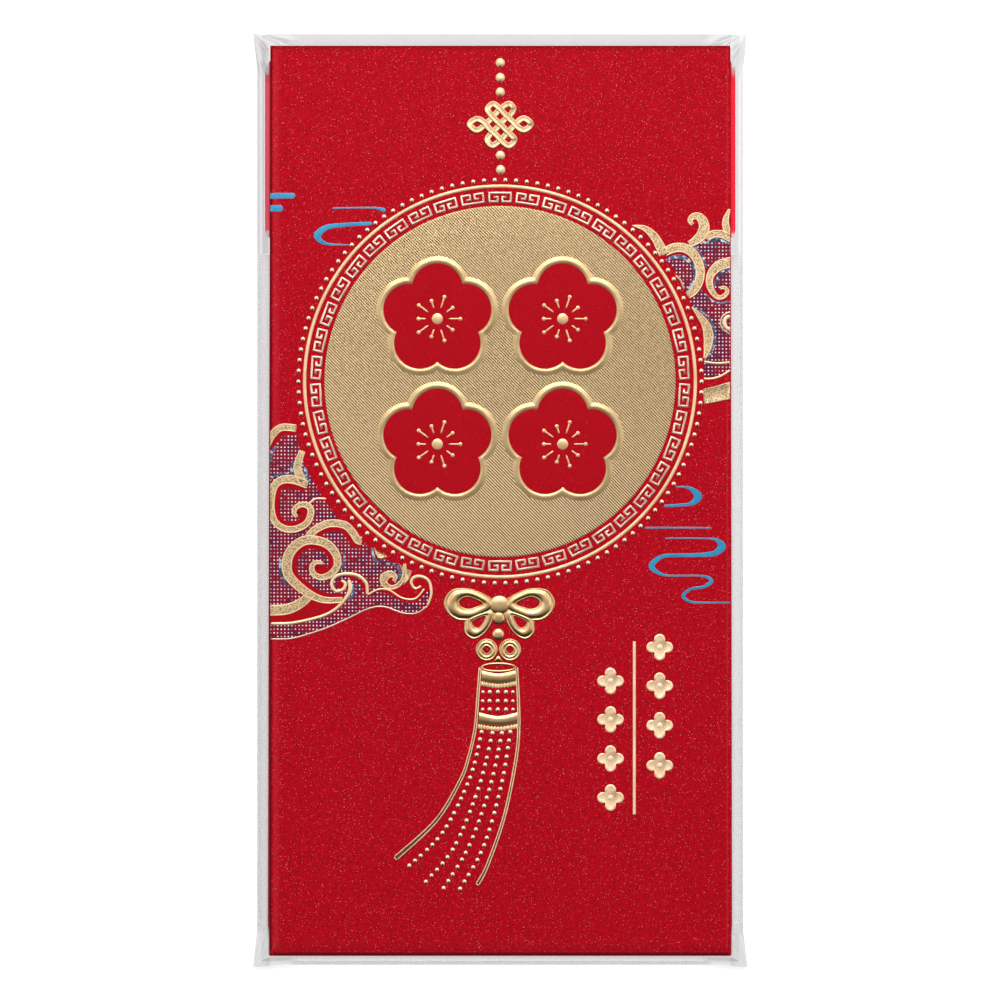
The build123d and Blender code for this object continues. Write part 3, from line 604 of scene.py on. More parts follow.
def drawBead(size, height, rings, sides, drop=0.0, shares=(0.5, 0.5)):
    # a bead for stamping, or the painted shade spot low on it; drop and radii are shares of its width
    shape = bmesh.new()
    dome(shape, Vector((0, -drop * size * pixel)), [share * size * pixel for share in shares], height, rings,
         sides, base=-faceZ)
    return shape


beadShade = {"rise": 1.2, "drop": 0.24, "shares": (0.25, 0.36)}  # painted shade spot low on small beads, as shares of the bead


def smallBeads(name, shadeSpotName, settings, spots, node):
    size, rise = settings["bead"], settings["beadRise"]
    stampAll(name, drawBead(size, rise, 4, 10), spots, beadGold, [node])
    stampAll(shadeSpotName, drawBead(size, rise * beadShade["rise"], 3, 8, beadShade["drop"], beadShade["shares"]),
             [(spot[0], 0.0, spot[2]) for spot in spots], shadeGold, [])


# medallion
medallion = {
    "centre": (500.0, 381.5), "disc": 175.6, "discSides": 180, "rimRise": 0.10 * mm,
    "discSteps": ((0, 0.0), (0.3, 0.6), (0.9, 0.95), (1.8, 1.0), (40, 1.0), (90, 1.0), (140, 1.0)),
    "fretRadius": 184.3, "fretUnits": 42, "fretLength": 23.8, "fretHeight": 11.0, "fretLine": 2.2,
    "fretGap": 2.4, "fretSection": ((-1, 0), (-0.75, 0.8), (-0.35, 1), (0.35, 1), (0.75, 0.8), (1, 0)),
    "fretArm": 0.2, "fretMitre": 0.3, "fretRise": 0.2 * mm,
    "ring": 195.4, "ringLine": 3.4, "ringRise": 0.19 * mm, "ringSides": 220,
    "beadRing": 201.6, "beadCount": 118, "bead": 4.4, "beadRise": 0.28 * mm,
}
middle = at(medallion["centre"])

shape = bmesh.new()
stack(shape, [(circleRun(middle, medallion["disc"] - inset, medallion["discSides"]),
               rise * medallion["rimRise"]) for inset, rise in medallion["discSteps"]])
finishPiece("medallionDisc", shape, [hatchedGold], ["medallion_disc"])

shape = bmesh.new()
sweep(shape, circleRun(middle, medallion["ring"], medallion["ringSides"]), medallion["ringLine"] / 2 * pixel,
      roundProfile(medallion["ringRise"], 8), closed=True)
finishPiece("medallionRing", shape, [ringGold], ["medallion_ring"])

shape = bmesh.new()
halfLine, edge = medallion["fretLine"] / 2, medallion["fretHeight"] / 2 - medallion["fretLine"] / 2
sideReach = medallion["fretLength"] / 2 - halfLine
rise, fretRise = medallion["fretArm"], medallion["fretRise"]
inner = medallion["fretGap"] / 2 + halfLine
tip = (medallion["fretGap"] + (medallion["fretLength"] - medallion["fretGap"]) / 2) / 2
fretPath = [(-tip, rise), (-inner, rise), (-inner, -edge), (-sideReach, -edge), (-sideReach, edge),
            (sideReach, edge), (sideReach, -edge), (inner, -edge), (inner, rise), (tip, rise)]
fretPath = [Vector(point) * pixel for point in fretPath]
rows = []
for i, point in enumerate(fretPath):
    back = (point - fretPath[i - 1]).normalized() if i else (fretPath[1] - point).normalized()
    ahead = (fretPath[i + 1] - point).normalized() if i < len(fretPath) - 1 else back
    mitre = Vector((-(back + ahead).y, (back + ahead).x)).normalized()
    mitre /= max(mitre.dot(Vector((-back.y, back.x))), medallion["fretMitre"])
    rows.append([shape.verts.new((*(point + mitre * across * halfLine * pixel), height * fretRise))
                 for across, height in medallion["fretSection"]])
skin(shape, rows)
for row in (rows[0], rows[-1]):
    shape.faces.new(row)
fretSpots = []
for unit in range(medallion["fretUnits"]):
    turn = 2 * pi * unit / medallion["fretUnits"]
    place = middle + Vector((-sin(turn), cos(turn))) * medallion["fretRadius"] * pixel
    fretSpots.append((place, turn + (pi if unit % 2 else 0.0), 1.0))  # every second one upside down
stampAll("fretRing", shape, fretSpots, silverGold, ["fret_ring"])

beadSpots = []
for bead, spot in enumerate(circleRun(middle, medallion["beadRing"], medallion["beadCount"])):
    beadSpots.append((spot, 2 * pi * bead / medallion["beadCount"], 1.0))
smallBeads("beadRing", "beadRingDents", medallion, beadSpots, "bead_ring")
print("medallion made")

# blossoms on the medallion
blossom = {
    "pitch": 125.3, "reach": 51.4 * 0.58, "petal": 51.4 * 0.50, "petals": 5, "eye": 51.4 * 0.16 * 0.72,
    "rim": ((7.0, 0.0), (6.0, 0.04), (5.0, 0.11), (3.8, 0.18), (2.6, 0.20), (1.4, 0.17), (0.4, 0.09),
            (0.0, 0.02)),
    "fill": ((0.0, 0.02), (-2.0, 0.04), (-6.0, 0.06), (-12.0, 0.07)), "eyeRise": 0.19 * mm,
    "stamens": 10, "stamen": (11.0, 23.0, 1.7), "shortStamen": 0.82, "stamenRise": 0.09 * mm,
    "stamenBase": 0.06 * mm, "stamenBead": 2.1, "beadRise": 0.14 * mm, "beadBase": 0.05 * mm,
}
discTop = medallion["rimRise"]
reach, petal = blossom["reach"] * pixel, blossom["petal"] * pixel
rims, fills, eyes = bmesh.new(), bmesh.new(), bmesh.new()
for across, along in ((-1, -1), (-1, 1), (1, -1), (1, 1)):
    spot = middle + Vector((across, along)) * blossom["pitch"] / 2 * pixel
    for shape, steps in ((rims, blossom["rim"]), (fills, blossom["fill"])):
        stack(shape, [(petalLoop(spot, reach, petal, blossom["petals"], grow * pixel), discTop + rise * mm)
                      for grow, rise in steps], fill=shape is fills)
    dome(eyes, spot, (blossom["eye"] * pixel,) * 2, blossom["eyeRise"], base=discTop)
    for stamen in range(blossom["stamens"]):
        turn = pi / 2 + 2 * pi * (stamen + 0.5) / blossom["stamens"]
        near, far, wide = blossom["stamen"]
        far *= 1.0 if stamen % 2 else blossom["shortStamen"]
        ray = Vector((cos(turn), sin(turn)))
        run = [spot + ray * (near + (far - near) * step / 6) * pixel for step in range(7)]
        sweep(eyes, run, wide / 2 * pixel, roundProfile(blossom["stamenRise"]),
              base=discTop + blossom["stamenBase"])
        dome(eyes, run[-1], (blossom["stamenBead"] * pixel,) * 2, blossom["beadRise"], 4, 10,
             discTop + blossom["beadBase"])
finishPiece("blossomRims", rims, [rimGold], ["blossom_rims"])
finishPiece("blossomFills", fills, [redFill], ["blossom_fills"])
finishPiece("blossomEyes", eyes, [paleGold], ["blossom_eyes"])
print("blossoms made")

# hanging string and endless knot
hanging = {
    "beads": [(500.2, 62.7), (500.2, 77.6), (500.2, 92.1), (500.4, 155.3), (500.6, 169.7)],
    "bead": 9.6, "beadRise": 0.30 * mm, "cord": 6.2, "cordRise": 0.2 * mm, "over": 0.12 * mm,
    "beadShade": (0.36, (0.16, 0.13)),  # painted shade spot: drop and radii
    "section": ((-1, 0), (-0.92, 0.7), (-0.72, 1), (-0.5, 0.8), (0, 0.72), (0.5, 0.8), (0.72, 1),
                (0.92, 0.7), (1, 0)),
    "knot": [
        (490.2, 114), (487.6, 109), (492.6, 104), (498.1, 107), (503.7, 113.1), (512.8, 121.9),
        (517.2, 126.6), (524.2, 130), (531.1, 124.3), (524.5, 118.5), (518.4, 121.1), (510.5, 129.6),
        (504.9, 135.7), (498.4, 141.9), (492, 145.5), (487.3, 140.1), (490.2, 134.6), (497, 128),
        (503.6, 120.7), (510.8, 114.3), (513.5, 108.5), (509.6, 103.9), (504.6, 105.8), (496.4, 113),
        (489.6, 120.5), (482.9, 126.9), (476.1, 130.2), (469.7, 124.3), (476.4, 119.1), (483.2, 121.7),
        (490.2, 129.6), (497, 135.7), (503.4, 142.5), (509.3, 145.6), (514.7, 140.1), (511, 134.9),
        (504, 128), (496.5, 120.7),
    ],
}
stringSpots = [(at(spot), 0.0, 1.0) for spot in hanging["beads"]]
size, rise = hanging["bead"], hanging["beadRise"]
stampAll("stringBeads", drawBead(size, rise, 6, 20), stringSpots, paleGold, ["string_beads"])
stampAll("stringBeadDents", drawBead(size, rise, 3, 8, *hanging["beadShade"]), stringSpots, shadeGold, [])
shape = bmesh.new()
run = smoothRun(hanging["knot"], 7, closed=True)
lift = [hanging["over"] * (0.5 - heading.x * heading.y) for heading in directions(run, True)]
sweep(shape, run, hanging["cord"] / 2 * pixel, scaled(hanging["section"], hanging["cordRise"]), closed=True,
      lift=lift)
finishPiece("endlessKnot", shape, [knotGold], ["endless_knot"])

# bow
bow = {
    "middle": 499.4,
    "loop": [(493.5, 600), (476.5, 590.4), (463.2, 587.9), (450.8, 590.4), (444, 600.7), (445.8, 610.7),
        (451.6, 617.3), (459.9, 620.6), (474.8, 619.4), (493.5, 610)],
    "loopEye": [(459.6, 602.8), (463.2, 598.7), (469.8, 597.4), (482.4, 603.4), (474.8, 606.9),
        (468.2, 608.6), (461.5, 606.5)],
    "tail": [(493.5, 609), (492.2, 621.5), (484.8, 633.1), (474, 639.3), (465.7, 634.7), (464.2, 627.3),
        (468.2, 617)],
    "tailEye": [(484.8, 615.9), (472.6, 621.3), (474.4, 626), (478.1, 627.4), (482.3, 623.1)],
    "section": ((0, 0), (0.05, 0.14), (0.10, 0.17), (0.15, 0.08), (0.19, 0.07), (0.30, 0.31), (0.48, 0.43),
                (0.66, 0.41), (0.78, 0.27), (0.84, 0.16), (0.90, 0.23), (0.95, 0.2), (1, 0.02)),
    "knotSpot": (499.4, 604.9), "knot": (10.6, 9.4), "knotRise": 0.45 * mm,
    "drop": (498.8, 618.0), "dropSize": (6.2, 7.0), "dropRise": 0.45 * mm * 0.85,
}


def flip(points):
    return [(2 * bow["middle"] - x, y) for x, y in points]


shape = bmesh.new()
for turn in (list, flip):
    for outer, eye in (("tail", "tailEye"), ("loop", "loopEye")):
        outerRun, eyeRun = smoothRun(turn(bow[outer]), 10, True), smoothRun(turn(bow[eye]), 10, True)
        bandLoop(shape, outerRun, eyeRun, middleOf(eyeRun), scaled(bow["section"], mm))
dome(shape, at(bow["drop"]), [size * pixel for size in bow["dropSize"]], bow["dropRise"], 7, 32)
dome(shape, at(bow["knotSpot"]), [size * pixel for size in bow["knot"]], bow["knotRise"], 8, 40)
finishPiece("bow", shape, [brightGold], ["bow"])

# tassel
tassel = {
    "ball": (498.2, 634.3), "ballSize": 6.1, "ballRise": 0.42 * mm,
    "rings": [(486.6, 649.7), (510.0, 649.7)], "ring": 11.3, "hole": 3.6, "holePower": 1.3, "ringSides": 48,
    "ringSection": ((0, 0), (0.06, 0.2), (0.14, 0.27), (0.22, 0.14), (0.3, 0.15), (0.45, 0.31), (0.56, 0.29),
                    (0.67, 0.11), (0.75, 0.12), (0.84, 0.3), (0.93, 0.24), (1, 0.02)),
    "left": [(480.2, 667), (477.6, 700), (475.2, 728), (468.2, 759), (459.8, 781.4), (436, 820.7),
        (395.3, 858.6)],
    "right": [(516.6, 667), (518.4, 700), (518.8, 728), (516, 759), (504.7, 815), (487.9, 864.2),
        (477.4, 884.5)],
    "leftLine": [3.2, 3.2, 3.3, 3.4, 3.7, 4.3, 5.4], "rightLine": [3.2, 3.2, 3.3, 3.4, 3.5, 3.8, 4.6],
    "lineRim": 1.3, "lineRise": 0.19 * mm, "grooveShare": 0.8, "grooveRise": 0.03 * mm,
    "mouth": (498.4, 667.4), "mouthSizes": ((18.0, 5.2), (15.2, 2.6)), "mouthRise": 0.16 * mm,
    "mouthSides": 60, "mouthSection": ((0, 0), (0.2, 0.8), (0.5, 1), (0.8, 0.8), (1, 0)),
    "bands": [
        ((481.9, 670.6), (498.4, 673.6), (515.2, 670.6), (481.6, 681.4), (498.6, 683.4), (516.4, 681.4)),
        ((479.2, 712.6), (498, 716.2), (517.2, 712.6), (478.6, 723.4), (498, 725.4), (517.2, 723.4)),
    ],
    "bandSection": ((0, 0.02), (0.12, 0.14), (0.3, 0.21), (0.5, 0.22), (0.75, 0.14), (0.92, 0.03), (1, 0.0)),
    "wedge": [(493.2, 662.4), (498.3, 655.4), (503.4, 662.4), (498.3, 661)],
    "ropes": [((481.4, 683.6), (498.6, 686), (516.4, 683.4)), ((478.2, 726.4), (498, 728.8), (517.2, 726.2))],
    "wedgeSteps": ((1, 0), (0.8, 1)),
    "rope": 5.0, "ropeRise": 0.26 * mm, "ropeTwists": 13, "twist": 1.5, "ropeCore": 0.3,
    "rows": [(692.0, 481.8, 514.0), (701.0, 481.4, 514.0), (709.4, 481.4, 514.2)], "rowBeads": 5,
    "rowInset": 1.2, "endBead": 0.8,
    "strings": [
        [(481.6, 732), (470, 777.5), (443, 832), (409.3, 865.6)],
        [(492.4, 733), (479.2, 786), (454.5, 846.5), (425.9, 881.7)],
        [(501.9, 733), (490, 787), (469, 846), (443.7, 888)],
        [(510.3, 732), (501.3, 785), (483.8, 846), (460.1, 888.7)],
    ],
    "stringBeads": 21, "bead": 4.4, "beadRise": 0.28 * mm,
}
shape = bmesh.new()
dome(shape, at(tassel["ball"]), (tassel["ballSize"] * pixel,) * 2, tassel["ballRise"], 7, 28)
finishPiece("tasselBall", shape, [brightGold], ["tassel_ball"])

shape = bmesh.new()
for spot in tassel["rings"]:
    centre, power = at(spot), tassel["holePower"]
    hole = []  # a rounded diamond
    for k in range(tassel["ringSides"]):
        angle = 2 * pi * k / tassel["ringSides"]
        hole.append(centre + Vector((cos(angle), sin(angle))) * tassel["hole"] * pixel
                    / (abs(cos(angle)) ** power + abs(sin(angle)) ** power) ** (1 / power))
    bandLoop(shape, circleRun(centre, tassel["ring"], tassel["ringSides"]), hole, centre,
             scaled(tassel["ringSection"], mm), tassel["ringSides"])
finishPiece("tasselRings", shape, [brightGold], ["tassel_rings"])

shape = bmesh.new()
for side in ("left", "right"):
    run = smoothRun(tassel[side], 12)
    halves, rim = spreadWidths(tassel[side + "Line"], len(run)), tassel["lineRim"] / 2 * pixel
    # painted shade: the groove between the rims is dark gold
    sweep(shape, run, [half * tassel["grooveShare"] for half in halves],
          [(-1, tassel["grooveRise"]), (1, tassel["grooveRise"])], finish=1)
    sides = [beside(run, [edge * (half - rim) for half in halves]) for edge in (-1, 1)]
    cap = [sides[0][-1].lerp(sides[1][-1], step / 6) for step in range(7)]
    for line in (*sides, cap):
        sweep(shape, line, rim, roundProfile(tassel["lineRise"]))
finishPiece("tasselLines", shape, [lineGold, shadeGold], ["tassel_lines"])

shape = bmesh.new()
mouthMiddle = at(tassel["mouth"])
mouths = [[mouthMiddle + Vector((cos(2 * pi * k / tassel["mouthSides"]) * wide,
                                 sin(2 * pi * k / tassel["mouthSides"]) * high)) * pixel
           for k in range(tassel["mouthSides"])] for wide, high in tassel["mouthSizes"]]
between(shape, *mouths, scaled(tassel["mouthSection"], tassel["mouthRise"]), True)
for corners in tassel["bands"]:
    between(shape, smoothRun(corners[:3], 10), smoothRun(corners[3:], 10), scaled(tassel["bandSection"], mm))
for rope in tassel["ropes"]:
    run = smoothRun(rope, 60)
    core = tassel["ropeCore"]
    sweep(shape, run, tassel["rope"] * core * pixel, roundProfile(tassel["ropeRise"] * core), finish=1)
    for twist in range(tassel["ropeTwists"]):
        spot = run[round((twist + 0.5) / tassel["ropeTwists"] * (len(run) - 1))]
        dome(shape, spot, (tassel["twist"] * pixel, tassel["rope"] / 2 * pixel), tassel["ropeRise"], 4, 12,
             finish=1)
wedge = [at(point) for point in tassel["wedge"]]
centre = middleOf(wedge)
stack(shape, [([centre + (spot - centre) * share for spot in wedge], rise * tassel["mouthRise"])
              for share, rise in tassel["wedgeSteps"]])
finishPiece("tasselCap", shape, [brightGold, ropeGold], ["tassel_cap"])

tasselSpots = []
for y, first, last in tassel["rows"]:
    insets = {0: tassel["rowInset"], tassel["rowBeads"] - 1: -tassel["rowInset"]}
    for bead in range(tassel["rowBeads"]):
        across = first + (last - first) * bead / (tassel["rowBeads"] - 1) + insets.get(bead, 0.0)
        tasselSpots.append((at((across, y)), 0.0, tassel["endBead"] if bead in insets else 1.0))
for string in tassel["strings"]:
    run = smoothRun(string, 60)
    walked = walkedOn(run)
    for bead in range(tassel["stringBeads"]):
        goal = walked[-1] * bead / (tassel["stringBeads"] - 1)
        nearest = min(range(len(run)), key=lambda i: abs(walked[i] - goal))
        tasselSpots.append((run[nearest], 0.0, 1.0))
smallBeads("tasselBeads", "tasselBeadDents", tassel, tasselSpots, "tassel_beads")
print("knot, bow and tassel made")

# column of florets
column = {
    "line": [(634.3, 641.4), (634.3, 814.2)], "lineWidth": 3.0, "rise": 0.18 * mm,
    "florets": [(610.5, 681.0), (610.5, 719.5), (610.5, 758.6), (610.5, 797.6),
                (659.7, 647.2), (659.7, 685.8), (659.7, 725.4), (659.7, 765.5)],
    "reach": 13.9 * 0.56, "petal": 13.9 * 0.40, "petals": 4, "sides": 96, "eye": 3.0, "eyeBase": 0.02 * mm,
    "steps": ((0, 0), (-0.4, 0.6), (-1.2, 0.95), (-2.2, 0.75), (-3.2, 0.4)),
}
shape = bmesh.new()
sweep(shape, smoothRun(column["line"], 20), column["lineWidth"] / 2 * pixel, roundProfile(column["rise"]),
      tips=False)
finishPiece("columnLine", shape, [creamGold], ["column_line"])
shape = bmesh.new()
reach, petal = column["reach"] * pixel, column["petal"] * pixel
for spot in column["florets"]:
    centre = at(spot)
    stack(shape, [(petalLoop(centre, reach, petal, column["petals"], grow * pixel, column["sides"]),
                   rise * column["rise"]) for grow, rise in column["steps"]])
    dome(shape, centre, (column["eye"] * pixel,) * 2, column["rise"], 4, 14, column["eyeBase"])
finishPiece("columnFlorets", shape, [creamGold], ["column_florets"])

# wave strokes: full widths along the run, then the run
waves = {
    "section": ((-1, 0), (-0.8, 0.8), (-0.4, 1), (0.4, 1), (0.8, 0.8), (1, 0)), "rise": 0.02 * mm,
    "swell": 0.9, "thin": 2.2, "limit": 42.95 * mm,
    "left": [
        ([6.2], [(262, 195.8), (280, 195.8), (295.3, 195.6)]),
        ([7], [(262, 208.4), (275, 208.4), (283.1, 208.4)]),
        ([1.8, 1.8, 2.2, 3.6, 5], [(331.8, 208.2), (354, 207.8), (374, 207.8), (381, 209.2), (385.6, 211)]),
        ([3.6, 4.4, 4.8, 6.2, 8.2, 5, 2.6, 1.4], [(372.6, 223.3), (350.9, 224.4), (333.1, 225.9),
         (324.2, 228.6), (317.4, 235), (320.9, 241.1), (328.7, 244.1), (349.8, 245)]),
    ],
    "right": [
        ([1.4, 1.8, 4.5, 9.4, 6.4, 3.4, 3, 2.4], [(675.7, 486.9), (684, 486.9), (691.6, 489.2), (698, 495.8),
         (694.4, 501.6), (687.5, 504.4), (675, 505.4), (664, 506)]),
        ([2.2, 2, 1.8], [(644.3, 527.9), (678, 527.7), (712.1, 527.9)]),
        ([1.2, 1.4, 1.8, 4, 9.4, 6, 4.2, 3.8, 4.2, 6.8, 4, 2.2, 2, 3, 4.6, 3, 2.6, 4, 2.6, 2, 1.8],
         [(664, 538.3), (690, 538.2), (710, 538.6), (717.6, 540.6), (721.8, 546.6), (714, 553.4),
         (697.1, 555), (675.7, 555.3), (661.4, 556.8), (651.6, 565.2), (657.1, 572.1), (668.6, 575.6),
         (696, 575.6), (707, 577), (711.2, 581.6), (702.9, 587), (691.4, 588.8), (683.1, 595.7),
         (690, 601.6), (702.9, 602.6), (738, 602.6)]),
    ],
}


def cutAtEdges(shape):  # the print ends at the panel's edges
    for corner in shape.verts:
        corner.co.x = min(max(corner.co.x, -waves["limit"]), waves["limit"])


for side in ("left", "right"):
    shape = bmesh.new()
    for widths, points in waves[side]:
        run = smoothRun(points)
        halves = spreadWidths([width * waves["swell"] for width in widths], len(run))
        made, strips = len(shape.faces), len(waves["section"]) - 1
        sweep(shape, run, halves, scaled(waves["section"], waves["rise"]))
        for i, face in enumerate(list(shape.faces)[made:]):  # the thin parts are greyer
            face.material_index = int(halves[i // strips] < waves["thin"] / 2 * pixel)
    cutAtEdges(shape)
    finishPiece(side + "Waves", shape, [blueFoil, greyBlueFoil], [side + "_waves"])
print("column and waves made")

# cloud scrolls at both sides, cut off at the panel's edges; widths, run, side of the red gap
clouds = {
    "groundRise": 0.010 * mm, "redRise": 0.016 * mm, "holoRise": 0.034 * mm, "layer": 0.0012 * mm,
    "bandRise": 0.17 * mm, "lineRise": 0.15 * mm, "gap": 4.2, "rim": 1.5, "eyeSides": 24,
    "section": ((-1, 0), (-0.9, 0.5), (-0.5, 0.55), (0.5, 0.55), (0.9, 0.5), (1, 0)),
    "shapeSteps": ((1, 0), (0.97, 0.8), (0.92, 1), (0.85, 0.65)),
}
clouds["left"] = {
    "grounds": [
        [(270.6, 444), (277, 438), (285, 433.5), (296.6, 434), (300, 452), (306, 466.5), (313, 481.5),
         (322.5, 497.5), (333, 512), (344, 525), (356, 537), (368, 547), (375, 558), (388, 560.5),
         (399, 565), (404, 574), (400, 584), (391, 587), (383, 585), (372, 592.5), (378, 592), (389, 594),
         (400, 601), (410, 603.5), (417, 602), (424, 595), (429, 590), (431, 594), (427.4, 606),
         (416.7, 612.4), (402.9, 612.4), (384.5, 606.2), (369.2, 607.8), (347.8, 617.7), (323.3, 628.4),
         (292.6, 637.6), (270.6, 638.4)],
    ],
    "reds": [
        [(270.6, 613), (286, 613), (303, 607), (315, 598), (330, 602), (343, 603), (335.5, 608),
         (320.2, 615.5), (292.6, 621.6), (270.6, 622.4)],
        [(366.4, 594), (365, 583.5), (356.5, 577), (345, 575.5), (350, 578.5), (357.5, 581), (362.5, 588)],
    ],
    "eyes": [(302.5, 512.5, 6), (323, 570, 4.6), (341, 584.5, 4.4), (390.6, 580, 4.6), (419, 583.5, 4.6)],
    "bands": [
        ([7.6], [(266, 447), (272.7, 434.5), (281.9, 427.6), (296.4, 428.4)], -1),
        ([9, 8.6, 6], [(304.3, 485), (297.4, 468.2), (302.6, 450.6)], 0),
        ([8, 9, 8, 8, 7.6, 7, 7, 7, 7, 7, 6.6, 6, 5.4, 5, 3], [(307.9, 485), (292, 479.5), (280, 481),
         (273.2, 489), (270.8, 506), (274.5, 521), (284, 528.5), (296, 529), (307, 523), (311, 512.5),
         (308.6, 506.4), (302.4, 504.6), (296, 507.5), (294, 512.5), (297, 517.5)], 1),
        ([6, 7, 8.6, 10, 10.4, 10.4, 10, 9.4, 9, 8.4, 7.6, 7, 6.4, 6, 5.4, 4.6, 3], [(343.2, 599.9),
         (323.3, 599.9), (306.4, 592.2), (289.6, 577), (286.9, 563.2), (291.1, 551), (301.8, 541.7),
         (314, 540.2), (327.9, 544.8), (336.4, 555.5), (337, 566.3), (331, 574), (321.7, 577.5),
         (313.5, 573.9), (312, 566.3), (316.4, 562.4), (323.3, 563.2)], -1),
        ([7.6, 8, 8, 8, 8, 8, 8.6], [(308, 537), (315.6, 529.5), (329.4, 523.6), (344.7, 525.2),
         (352.9, 533), (357.5, 540), (362, 541)], -1),
        ([11, 11, 10, 8], [(262, 610.4), (285, 609.6), (300.3, 603.5), (312.5, 592.8)], -1),
        ([3.2, 5, 7, 9, 7, 4.6, 4.6, 4.4, 4, 3], [(393.7, 581.5), (395.2, 577), (390.6, 574.2),
         (384.6, 577.2), (384.4, 583.6), (391, 587.6), (399, 584.6), (403.5, 577.5), (404.5, 570),
         (404.8, 563.5)], 0),
    ],
    "lines": [
        ([2.6, 3.4, 3.6, 3.4, 3.4, 3.4, 3.4, 3.4, 3.2, 2.6], [(367.2, 595), (366.1, 583), (357, 575.4),
         (344.7, 573.9), (335, 577), (331.6, 584.6), (335.8, 591), (343, 589.4), (345.4, 583.6),
         (341, 580.4)]),
        ([3.6, 4.4, 3.6, 3, 3, 3, 3], [(348.6, 579.6), (350.4, 588.7), (345.7, 598.4), (335.5, 609),
         (320.2, 616.7), (292.6, 622.9), (270.6, 623.6)]),
        ([2], [(367.7, 594.8), (378.4, 589.4), (389.1, 590.2), (399.9, 597), (409, 599.4), (416.7, 597.8),
         (424.4, 588.7)]),
        ([2, 2.6, 3, 3.4, 3.4, 3, 2.6, 2.4], [(427.4, 606), (431.2, 593.8), (429, 581.5), (421.3, 576.6),
         (413.6, 577.7), (411.3, 583), (415.2, 588.4), (421.3, 586.1)]),
        ([2.2], [(309.5, 503.4), (315.6, 498.8), (326.4, 498.8)]),
    ],
    "silver": [
        ([1.8], [(270.6, 639), (292.6, 638.2), (323.3, 629), (347.8, 618.3), (369.2, 608.4), (384.5, 606.8),
         (402.9, 613), (416.7, 613), (427.4, 606)]),
    ],
    "shapes": [
        [(373.6, 547), (378, 551.5), (387.4, 556.4), (378, 558.2)],
        [(398, 562.6), (404, 568), (412, 571), (409, 579), (403.5, 585.5), (404.5, 576)],
    ],
    "holo": [
        ([2.4], [(277, 446), (271.6, 453), (271.2, 465)]),
        ([2.6], [(292.6, 476), (291.4, 468), (294, 460)]),
        ([2.6, 3.4, 2.6], [(305, 467), (306.2, 475), (309, 484)]),
        ([2.2], [(270.8, 477.6), (279, 474.2), (289, 473.8)]),
        ([2.4], [(280.2, 557), (280.6, 572), (286, 586)]),
        ([2], [(343.6, 552), (344.4, 562), (341.6, 570)]),
        ([2.4], [(352.4, 584), (353.6, 592), (349.4, 600)]),
        ([2.4], [(371.6, 547), (373, 554), (376, 561), (388, 563.4), (398, 565.6)]),
        ([2.2], [(397.6, 566), (400, 573), (397.4, 580)]),
    ],
}
